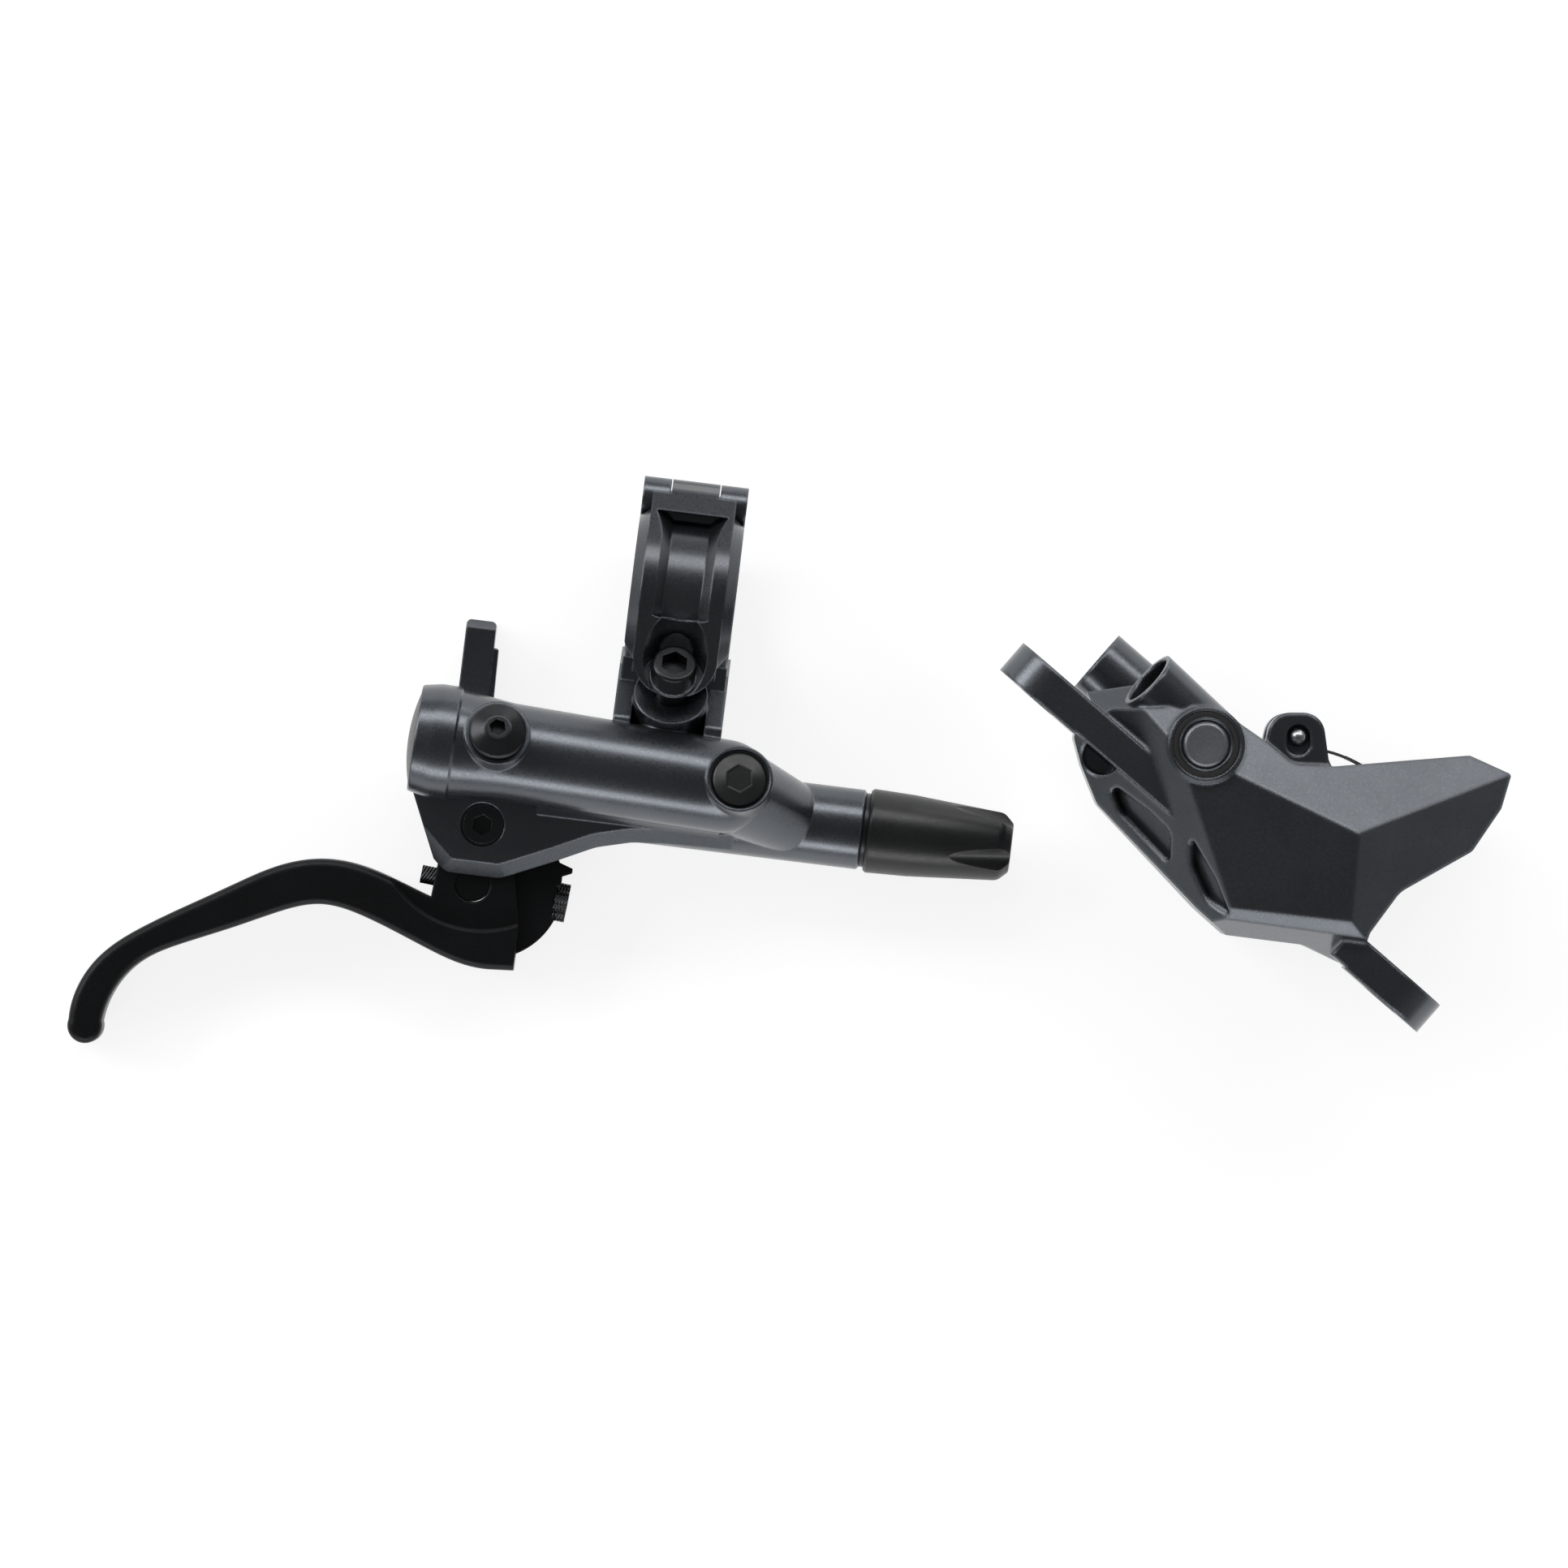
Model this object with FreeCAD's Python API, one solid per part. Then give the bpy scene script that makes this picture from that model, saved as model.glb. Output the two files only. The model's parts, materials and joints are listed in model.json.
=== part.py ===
"""A hydraulic disc brake for a bicycle: the hand lever with its master cylinder, and the caliper.

Millimetres, +Z up. The origin is the middle of the handlebar clamp and +X runs along the handlebar,
from the finger blade towards the hose. The lever lies on its side, as it comes to rest on a bench,
and the caliper lies beside it on its inboard face. The hose between them isn't part of the model.
"""
import FreeCAD, Part
import math
import os

V = FreeCAD.Vector
Z_AXIS = V(0, 0, 1)
X_AXIS = V(1, 0, 0)

# Handlebar clamp
BAR_R = 11.1                 # a 22.2 mm handlebar
CLAMP_WIDTH = 17.2
BAND_WALL = 2.9
SADDLE_WALL = 4.1            # the fixed half, cast with the body
BENCH_Z = -(BAR_R + SADDLE_WALL)
HINGE_Y = 15.4
HINGE_R = 3.3
HINGE_PIN_R = 1.4
HINGE_TONGUE_WIDTH = 7.8
BOLT_LEAN = 36.0             # degrees, from straight up towards the handlebar
BOLT_OFFSET = 15.7           # from the handlebar's centre to the bolt's axis
BOLT_R = 2.5
BOLT_HEAD_R = 3.7
BOLT_HEAD_TALL = 3.8
BOLT_HEAD_TOP = 2.45
BOLT_LENGTH = 17.0
BOLT_HEX = 4.0
LUG_R = 6.1
LUG_FLOOR = 2.9              # metal under the bolt's head
LUG_GAP = 1.2                # between the band's lug and the fixed one, so the bolt can pull it down
LIFT_GAP = 0.1               # under the washer, before the bolt is tight
WASHER_THICK = 0.8
WASHER_R = 3.85
BAND_FLAT_HALF = 6.9         # inside the bevels
BAND_BEVEL = 1.7
LUG_NOSE_Y = -16.85
LUG_NOSE_R = 6.2
LUG_SLOPE = 9.0              # degrees, the lug's top runs on from the strap at this slope
LIP_SLOPE = 37.0             # degrees, the same towards the hinge
LIP_Y = 16.3
ARM_OUT = 9.0
BAND_HOLE_R = 3.3
COUNTERBORE_R = 5.2
HINGE_CLEARANCE = 0.3
SIDE_GAP = 0.2
BAND_FROM = 2.0              # degrees round the handlebar, from the hinge over the top
BAND_TO = 178.0
FIXED_FROM = 184.0
ARM_THICK = 2.9
PANEL_HALF = 3.0
PANEL_DEEP = 1.4
PANEL_FROM_Y = -4.2
PANEL_TO_Y = 13.3
PANEL_LEDGE_Z = 4.1          # the trough stops above this, so that the strap stays whole by the hinge
RESERVOIR_LEFT = -40.8
RESERVOIR_Y = -28.6
RESERVOIR_Z = 4.3
RESERVOIR_TILT = 2.0         # degrees, the reservoir's far end leans away from the handlebar
RESERVOIR_R = 8.1
RESERVOIR_END_R = 7.7
RESERVOIR_LENGTH = 51.5
COLLAR_R = 9.4
RIM_R = 8.75
THROAT_ALONG = 15.5          # where the collar has tapered down to the barrel
COLLAR_LENGTH = 6.4
BLEND_END_X = 23.3           # where the reservoir's rounded end has dived into the master cylinder
RESERVOIR_BORE_R = 6.3
RESERVOIR_BORE_LENGTH = 47.0
CAP_R = 7.6
CAP_THICK = 2.0
CAP_DOME = 1.1               # how far the cap bulges beyond the rim
MASTER_Z = -8.0
MASTER_TUBE_R = 6.6
MASTER_TUBE_END = 34.0
MASTER_BORE_R = 5.0
MASTER_BORE_MOUTH = -19.5
MASTER_BORE_END = 20.0
HOSE_R = 2.5
HOSE_THREAD_R = 4.0
HOSE_THREAD_LENGTH = 11.5
BORE_CLEARANCE = 0.05
TIMING_PORT_R = 0.6
TIMING_PORT_X = 2.9
BLEED_ALONG = 13.5           # along the reservoir
BLEED_LEAN = 17.0            # degrees towards the handlebar
BLEED_BOSS_R = 5.4
BLEED_BOSS_OUT = 9.8
BLEED_HEAD_R = 4.7
BLEED_THREAD_R = 2.5
BLEED_SEAL_THICK = 0.6
PLUG_ALONG = 53.7
PLUG_LEAN = 10.0
PLUG_BOSS_R_LEVER = 5.5
PLUG_BOSS_OUT = 9.2
STOPPER_R = 4.6
STOPPER_STEM_R = 2.6
STOPPER_DEEP = 5.5
STOPPER_SUNK = 0.9
FLANGE_OF_DIAPHRAGM = 0.8
DIAPHRAGM_WALL = 0.7
DIAPHRAGM_FOLDS = 4
DIAPHRAGM_PITCH = 3.2

# Lever pivot and its clevis
PIVOT_X = -28.2
PIVOT_Y = -41.5
PIVOT_PIN_R = 2.45
PIVOT_HEAD_R = 3.1
PIVOT_HEAD_THICK = 1.3
PIN_SUNK = 0.5
PLATE_THICK = 3.2
PLATE_BEVEL = 2.3
SLOT_RIGHT_X = -10.9
BLADE_SLOT_BACK_Y = -36.4
LINK_SLOT_BACK_Y = -30.2
LINK_SLOT_TALL = 6.4
BLADE_BASE_WIDTH = 9.0       # along Z, where the blade enters the clevis
BLADE_WIDTH = 12.0           # along Z, under the fingers
PLAY = 0.15                  # side play of the blade in the clevis
CARRIER_THICK = 5.7
FORK_PLAY = 0.15
CARRIER_EYE_R = 4.4
BUSH_R = 3.2
BLADE_EYE_R = 4.7
BLADE_EDGE_R = 1.3
LOBE_X = -26.0               # the carrier's round lobe
LOBE_Y = -51.2
LOBE_R = 12.2
BASE_REACH = 17.5            # the blade keeps its narrow base inside this radius of the pivot

# Linkage from the lever to the piston
PULL_ANGLE = 22.0            # degrees of lever stroke
LINK_ARM = 6.85
LINK_PIN_R = 1.5
ROD_EYE_R = 2.7
ROD_THICK = 2.4
ROD_R = 1.2
BALL_R = 2.2
BALL_X = -16.4
LINK_CLEARANCE = 0.12
PISTON_BACK_X = -17.9
PISTON_FRONT_X = 3.4
SECONDARY_CUP_X = -15.2
PRIMARY_CUP_X = 0.2
CUP_LONG = 2.2
SEAL_DEEP = 1.4
SPIGOT_R = 2.2
SPIGOT_LONG = 3.0
SPRING_R = 3.4
SPRING_WIRE_R = 0.4
SPRING_TURNS = 6
CIRCLIP_X = -18.9
CIRCLIP_THICK = 0.8
CIRCLIP_R = 5.6
ROD_PASS_R = 3.4

# Reach adjuster: a screw through the carrier into a trunnion nut in the blade
REACH_IN = 7.0               # degrees the blade can be brought towards the handlebar
REACH_OUT = 3.0
REACH_SEAT = (-15.0, -52.55) # under the screw's head
REACH_TIP = (-37.3, -50.75)
REACH_SCREW_R = 1.5
REACH_HEAD_R = 3.2
REACH_HEAD_THICK = 2.2
REACH_KNURLS = 12
TRUNNION_R = 2.8
TRUNNION_CLEARANCE = 0.08

# Hose end of the lever
COVER_START = 34.7
COVER_END = 58.6
COVER_R = 6.95
COVER_NOSE_R = 5.6
COVER_SCOOPS = 4
COVER_SCOOP_TURN = 25.0
SCOOP_R = 2.4
NUT_HEX = 8.0
NUT_HEX_LONG = 5.5
OLIVE_LONG = 3.4

# Caliper, in its own frame: +X along the rotor's rim, +Y away from the wheel's centre, Z = 0 the rotor
CALIPER_AT = (91.9, -28.8)
CALIPER_TURN = 7.0
INBOARD_DEEP = 21.5
OUTBOARD_TALL = 24.0
EAR_TURN = -41.0             # direction of the line through both mounting ears
POST_SPACING = 74.2          # post mount
EAR_R = 8.0
EAR_THICK = 5.8
EAR_PAD_PROUD = 0.3          # the machined bolting face above the arm behind it
EAR_Z = 12.0
EAR_SLOT_R = 3.3
EAR_SLOT_LENGTH = 10.4
ROTOR_R = 80.0
ROTOR_GAP = 3.5
ROTOR_RIM = 7.0              # where the rotor's rim comes to at the middle of the pads
PAD_MIDDLE = 12.75
PISTON_Y = -1.0
PISTON_PITCH = 19.5
PISTON_R = (7.5, 8.5)        # the leading one is the smaller
PISTON_TALL = 8.6
PISTON_WALL = 2.0
PISTON_BORE_TOP = 14.4
SEAL_WIDE = 1.2
SEAL_TALL = 2.0
SEAL_Z = 8.6
LINING_GAP = 1.25            # from the rotor's mid plane to the lining
LINING_THICK = 2.2
BACKING_THICK = 1.8
PAD_LENGTH = 42.0
PAD_TALL = 20.0
PAD_LOW = -12.0
PAD_ROOM = 0.8               # air round the pads
PAD_PIN_R = 1.4
PAD_PIN_Y = 16.4
PIN_CLEARANCE = 0.15
PIN_CLIP_THICK = 0.8
PAD_LOW_LENGTH = 22.0
PAD_SPRING_LONG = 30.0
SPRING_LEAF = 0.5
SPRING_WAIST = 3.6
LUG_LOW = 5.9
LUG_HIGH = 14.0
PISTON_FLOOR = 2.6
PASSAGE_R = 1.0
TRANSFER = (-15.5, 12.9)     # where the fluid crosses from one half to the other
TRANSFER_RING_R = 2.6
TRANSFER_RING_TALL = 1.2
EAR_ROOT = (-8.0, 26.0)      # along the ear line, inside the body
PORT_R = 5.2                 # the hose port's round boss
PORT_THREAD_R = 4.4
PORT_DEEP = 11.0
NEAR_PORT_MOUTH = (-11.9, 25.74, 15.0)
NEAR_PORT_TURN = -43.0
NEAR_PORT_RISE = 12.7        # degrees, the hose leaves away from the wheel
NEAR_PORT_LENGTH = 24.0
FAR_PORT_R = 5.6             # the bleed port's round boss
FAR_PORT_END = -33.9
FAR_PORT_ACROSS = 8.9
FAR_PORT_Z = 10.0
BLEED_BORE_R = 3.0
BLEED_TUBE_R = 4.4
BLEED_SUNK = 5.0
BLEED_HEX = 5.0
PASSAGE_PLUG = (-2.55, 15.15)
SCOOP_AT = (-19.2, 13.4)
SCOOP_ROUND_R = 3.2
SCOOP_FLOOR = 7.0
PLUG_BOSS_R = 6.3
PLUG_BOSS_TOP = 25.0
PLUG_DEEP = 4.0
PLUG_R = 4.0
BODY_BOLTS = ((-13.8, 7.6), (41.0, 7.0))
BODY_BOLT_R = 2.5
BODY_BOLT_HEAD_R = 3.4
BODY_BOLT_HEAD_TALL = 3.6
BOLT_HEAD_SEAT = 8.0
BOLT_THREAD_TOP = 7.0

HUGE = 400.0


# Small building functions

def cylinder(radius, start, end):
    """A cylinder between two points."""
    along = end - start
    return Part.makeCylinder(radius, along.Length, start, along)


def cone(radius_1, radius_2, start, end):
    along = end - start
    return Part.makeCone(radius_1, radius_2, along.Length, start, along)


def box(low, high):
    size = high - low
    return Part.makeBox(size.x, size.y, size.z, low)


def fuse(*shapes):
    return shapes[0].fuse(list(shapes[1:])).removeSplitter()


def half_space(point, normal):
    """Everything on the side of a plane that its normal points to."""
    block = Part.makeBox(HUGE, HUGE, HUGE, V(-HUGE / 2, -HUGE / 2, 0))
    block.Placement = FreeCAD.Placement(point, FreeCAD.Rotation(Z_AXIS, normal))
    return block


def rounded_wire(corners):
    """A closed wire through (x, y, radius) corners, each with an arc of its radius, at Z = 0."""
    count = len(corners)
    arcs = []
    for i, (x, y, radius) in enumerate(corners):
        here = V(x, y, 0)
        back = V(corners[i - 1][0], corners[i - 1][1], 0) - here
        ahead = V(corners[(i + 1) % count][0], corners[(i + 1) % count][1], 0) - here
        back.normalize()
        ahead.normalize()
        if radius == 0:
            arcs.append((here, here, None))
            continue
        half = back.getAngle(ahead) / 2
        reach = radius / math.tan(half)
        middle = (back + ahead).normalize() * (radius / math.sin(half))
        inner = middle.normalize() * (radius / math.sin(half) - radius)
        arcs.append((here + back * reach, here + ahead * reach, here + inner))
    edges = []
    for i, (start, end, through) in enumerate(arcs):
        if through is not None:
            edges.append(Part.Arc(start, through, end).toShape())
        following = arcs[(i + 1) % count][0]
        if (following - end).Length > 1e-6:
            edges.append(Part.LineSegment(end, following).toShape())
    return Part.Wire(edges)


def prism(corners, low, high):
    """An upright prism on rounded corners, from Z = low to Z = high."""
    face = Part.Face(rounded_wire(corners))
    face.translate(V(0, 0, low))
    return face.extrude(V(0, 0, high - low))


def along_x(shape):
    """Turns a shape that was drawn on (X, Y) and raised on Z to lie on (Y, Z) and run along X."""
    shape.Placement = FreeCAD.Placement(V(0, 0, 0), FreeCAD.Rotation(V(0, 1, 0), Z_AXIS, X_AXIS, "ZXY"))
    return shape


def side_prism(corners, low, high):
    """A prism on (y, z, radius) corners that runs along X from low to high."""
    return along_x(prism(corners, low, high))


def turned(profile, start, axis):
    """A turned solid: (distance along, radius) corners with arc radii, spun about an axis."""
    face = Part.Face(rounded_wire(profile))
    solid = face.revolve(V(0, 0, 0), X_AXIS, 360)
    solid.Placement = FreeCAD.Placement(start, FreeCAD.Rotation(X_AXIS, axis))
    return solid


def ring(outer, inner, start, end):
    return cylinder(outer, start, end).cut(cylinder(inner, start, end))


def hexagon(across, start, end):
    """A hexagonal bar, given by its width across flats."""
    corner = across / math.sqrt(3)
    along = end - start
    points = [V(corner * math.cos(math.radians(60 * i + 30)), corner * math.sin(math.radians(60 * i + 30)), 0)
              for i in range(7)]
    solid = Part.Face(Part.makePolygon(points)).extrude(V(0, 0, along.Length))
    solid.Placement = FreeCAD.Placement(start, FreeCAD.Rotation(Z_AXIS, along))
    return solid


def arc_sector(inner, outer, from_angle, to_angle, low, high):
    """Part of a ring about the X axis, between two angles measured from +Y towards +Z."""
    def at(radius, angle):
        return V(radius * math.cos(math.radians(angle)), radius * math.sin(math.radians(angle)), 0)
    middle = (from_angle + to_angle) / 2
    edges = [Part.Arc(at(outer, from_angle), at(outer, middle), at(outer, to_angle)).toShape(),
             Part.LineSegment(at(outer, to_angle), at(inner, to_angle)).toShape(),
             Part.Arc(at(inner, to_angle), at(inner, middle), at(inner, from_angle)).toShape(),
             Part.LineSegment(at(inner, from_angle), at(outer, from_angle)).toShape()]
    face = Part.Face(Part.Wire(edges))
    face.translate(V(0, 0, low))
    return along_x(face.extrude(V(0, 0, high - low)))


def touching_hull(centre_1, radius_1, centre_2, radius_2, low, high):
    """The skin that a belt round two circles on (Y, Z) would span, run along X."""
    dy, dz = centre_2[0] - centre_1[0], centre_2[1] - centre_1[1]
    far = math.hypot(dy, dz)
    lean = math.atan2(dz, dy)
    spread = math.acos((radius_1 - radius_2) / far)
    corners = []
    for side in (1, -1):
        angle = lean + side * spread
        pair = [(centre_1[0] + radius_1 * math.cos(angle), centre_1[1] + radius_1 * math.sin(angle), 0),
                (centre_2[0] + radius_2 * math.cos(angle), centre_2[1] + radius_2 * math.sin(angle), 0)]
        corners += pair if side == 1 else pair[::-1]
    return side_prism(corners, low, high)


def edges_where(shape, test):
    return [edge for edge in shape.Edges if test(edge)]


def save(name, shape):
    """Writes one node, after checking that it is made of sound closed solids."""
    if not shape.Solids or not shape.isValid():
        raise RuntimeError("%s isn't a sound solid" % name)
    solids = shape.Solids
    shape = solids[0] if len(solids) == 1 else Part.Compound(solids)
    shape.exportStep("parts/%s.step" % name)
    NODES[name] = shape
    size = shape.BoundBox
    print("%-22s solids %d  volume %8.1f  z %.2f to %.2f" %
          (name, len(solids), sum(s.Volume for s in solids), size.ZMin, size.ZMax))


NODES = {}


# Places worked out from the dimensions
MASTER_Y = PIVOT_Y + LINK_ARM * (1 + math.cos(math.radians(PULL_ANGLE / 2))) / 2
BOLT_UP = V(0, math.sin(math.radians(BOLT_LEAN)), math.cos(math.radians(BOLT_LEAN)))
BOLT_OUT = V(0, -math.cos(math.radians(BOLT_LEAN)), math.sin(math.radians(BOLT_LEAN)))
BOLT_FOOT = BOLT_OUT * BOLT_OFFSET
BOLT_SEAT = BOLT_HEAD_TOP - BOLT_HEAD_TALL
LUG_SEAT = BOLT_SEAT - WASHER_THICK - LIFT_GAP
LUG_UNDERSIDE = LUG_SEAT - LUG_FLOOR
FIXED_LUG_TOP = LUG_UNDERSIDE - LUG_GAP
HALF_CLAMP = CLAMP_WIDTH / 2
HALF_TONGUE = HINGE_TONGUE_WIDTH / 2
HINGE = V(0, HINGE_Y, 0)
RESERVOIR_DIR = V(math.cos(math.radians(RESERVOIR_TILT)), -math.sin(math.radians(RESERVOIR_TILT)), 0)
RESERVOIR_START = V(RESERVOIR_LEFT, RESERVOIR_Y, RESERVOIR_Z)
PIVOT = V(PIVOT_X, PIVOT_Y, 0)
SLOT_TOP = MASTER_Z + BLADE_BASE_WIDTH / 2 + PLAY
SLOT_BOTTOM = MASTER_Z - BLADE_BASE_WIDTH / 2 - PLAY
PLATE_TOP = SLOT_TOP + PLATE_THICK
LINK_TURN = math.radians(-PULL_ANGLE / 2)
LINK_PIN = PIVOT + V(LINK_ARM * math.sin(LINK_TURN), LINK_ARM * math.cos(LINK_TURN), 0)
CARRIER_LOW = MASTER_Z - CARRIER_THICK / 2
CARRIER_HIGH = MASTER_Z + CARRIER_THICK / 2
BLADE_LOW = MASTER_Z - BLADE_WIDTH / 2
BLADE_HIGH = MASTER_Z + BLADE_WIDTH / 2
BASE_LOW = MASTER_Z - BLADE_BASE_WIDTH / 2
BASE_HIGH = MASTER_Z + BLADE_BASE_WIDTH / 2
REACH_START = V(REACH_SEAT[0], REACH_SEAT[1], MASTER_Z)
REACH_DIR = (V(REACH_TIP[0], REACH_TIP[1], MASTER_Z) - REACH_START).normalize()
REACH_FOOT = (V(PIVOT_X, PIVOT_Y, MASTER_Z) - REACH_START).dot(REACH_DIR)
REACH_ARM = (REACH_START + REACH_DIR * REACH_FOOT - V(PIVOT_X, PIVOT_Y, MASTER_Z)).Length
TRUNNION = REACH_START + REACH_DIR * (REACH_FOOT - REACH_ARM * math.sin(math.radians((REACH_IN - REACH_OUT) / 2)))


def on_bolt(along):
    """A point on the clamp bolt's axis, measured from its nearest point to the handlebar."""
    return BOLT_FOOT + BOLT_UP * along


def on_reservoir(along):
    """A point on the reservoir's axis, measured from its open end."""
    return RESERVOIR_START + RESERVOIR_DIR * along


def on_master(x):
    return V(x, MASTER_Y, MASTER_Z)


def at_height(point, z):
    return V(point.x, point.y, z)


def upright(lean):
    """A direction that leans from straight up towards the handlebar."""
    return V(0, math.sin(math.radians(lean)), math.cos(math.radians(lean)))


BLEED_UP = upright(BLEED_LEAN)
PLUG_UP = upright(PLUG_LEAN)


# The lever's body, one casting

def reservoir_outside():
    """The tapered reservoir with its collar; its far end dives into the master cylinder."""
    profile = [(0, 0, 0), (0, RIM_R, 0.4), (COLLAR_LENGTH * 0.5, COLLAR_R, 5.0), (COLLAR_LENGTH, COLLAR_R, 0),
               (COLLAR_LENGTH + 0.4, COLLAR_R - 0.4, 0), (THROAT_ALONG, RESERVOIR_R, 12.0),
               (RESERVOIR_LENGTH, RESERVOIR_END_R, 0), (RESERVOIR_LENGTH, 0, 0)]
    barrel = turned(profile, RESERVOIR_START, RESERVOIR_DIR)
    far = on_reservoir(RESERVOIR_LENGTH)
    dome = Part.makeSphere(RESERVOIR_END_R, far)
    dive = cone(RESERVOIR_END_R - 0.2, MASTER_TUBE_R - 0.7, far, on_master(BLEND_END_X))
    heel = Part.makeSphere(MASTER_TUBE_R - 0.7, on_master(BLEND_END_X))
    return barrel.fuse([dome, dive, heel])


def web():
    """The wall that joins the reservoir to the master cylinder."""
    middle = on_reservoir(RESERVOIR_LENGTH / 2)
    return touching_hull((middle.y, middle.z), RESERVOIR_END_R - 0.3, (MASTER_Y, MASTER_Z), MASTER_TUBE_R - 0.4,
                         MASTER_BORE_MOUTH, on_reservoir(RESERVOIR_LENGTH).x)


def clevis():
    """Both plates that hold the lever, with a bevel along the edge that the fingers meet."""
    outline = [(-40.6, -36.5, 1.0), (-35.5, -48.0, 0), (-33.4, -49.9, 2.6), (-24.3, -49.9, 4.0),
               (-15.8, -46.1, 20.0), (-9.2, -42.9, 10.0), (-3.5, -41.4, 8.0), (2.0, -40.9, 5.0), (13.0, -40.6, 0),
               (13.0, -32.0, 0), (-38.0, -30.0, 0)]
    block = prism(outline, BENCH_Z, PLATE_TOP)
    rims = edges_where(block, lambda edge: edge.BoundBox.ZMin > PLATE_TOP - 0.01
                       and edge.BoundBox.YMax < -40.4 and edge.BoundBox.XMin > -35.6)
    return block.makeChamfer(PLATE_BEVEL, rims)


def rear_block():
    """The solid metal behind the lever's slot, under the reservoir."""
    return side_prism([(-24.0, -11.5, 3.0), (-23.4, RESERVOIR_Z, 0), (-37.0, RESERVOIR_Z, 0), (-37.0, BENCH_Z, 0),
                       (-27.0, BENCH_Z, 3.0)], -37.4, MASTER_BORE_MOUTH + 3)


def brace_finger():
    """The finger that steadies the body against the handlebar."""
    outline = [(-34.9, -8.1, 0.8), (-30.0, -8.1, 0.8), (-29.8, -26.0, 0), (-34.9, -26.0, 0)]
    finger = prism(outline, BENCH_Z + 0.5, BENCH_Z + 8.6)
    fin = prism([(-30.6, -12.4, 0.5), (-29.2, -12.4, 0.4), (-28.9, -26.0, 0), (-30.6, -26.0, 0)],
                BENCH_Z + 0.5, BENCH_Z + 6.0)
    bar = cylinder(BAR_R + 0.35, V(-50, 0, 0), V(50, 0, 0))
    return finger.fuse(fin).cut(bar)


def lug_outline(grow):
    """The band's lug seen from above: straight sides and a round nose."""
    half = BAND_FLAT_HALF + grow
    nose = LUG_NOSE_Y - grow
    return [(-half, 0, 0), (-half, nose, LUG_NOSE_R + grow), (half, nose, LUG_NOSE_R + grow), (half, 0, 0)]


def saddle():
    """The fixed half of the handlebar clamp, with its hinge ears, arms and threaded lug."""
    ring_part = arc_sector(BAR_R, BAR_R + SADDLE_WALL, FIXED_FROM, 360, -HALF_CLAMP, HALF_CLAMP)
    ears = cylinder(HINGE_R, HINGE - X_AXIS * HALF_CLAMP, HINGE + X_AXIS * HALF_CLAMP)
    arm = [(-9.5, -12.0, 0), (-12.4, -3.6, 0), (-21.0, 5.0, 1.5), (-26.0, 5.4, 0),
           (-29.0, -6.0, 0), (-25.5, -13.6, 0), (-12.0, -13.6, 2.0)]
    arms = [side_prism(arm, low, low + ARM_THICK) for low in (-ARM_OUT, ARM_OUT - ARM_THICK)]
    lug = cylinder(LUG_R, on_bolt(FIXED_LUG_TOP - BOLT_LENGTH + 4), on_bolt(FIXED_LUG_TOP))
    filler = side_prism([(-10.5, -11.0, 0), (-13.0, -4.0, 0), (-22.0, -3.0, 0), (-28.0, -6.0, 0),
                         (-26.0, -13.0, 0), (-14.0, -13.0, 2.0)], -LUG_R, LUG_R)
    solid = ring_part.fuse([ears, lug, filler] + arms)
    above_split = half_space(on_bolt(FIXED_LUG_TOP), BOLT_UP)
    room = cylinder(BAR_R + BAND_WALL + 0.4, V(-50, 0, 0), V(50, 0, 0)).common(above_split)
    lug_room = prism(lug_outline(0.4), -30, 30).common(above_split)
    tongue_room = cylinder(HINGE_R + HINGE_CLEARANCE, HINGE - X_AXIS * (HALF_TONGUE + SIDE_GAP),
                           HINGE + X_AXIS * (HALF_TONGUE + SIDE_GAP))
    return solid.cut([room.common(half_space(V(0, 0, 0), V(0, -1, 0))), lug_room, tongue_room])


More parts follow.
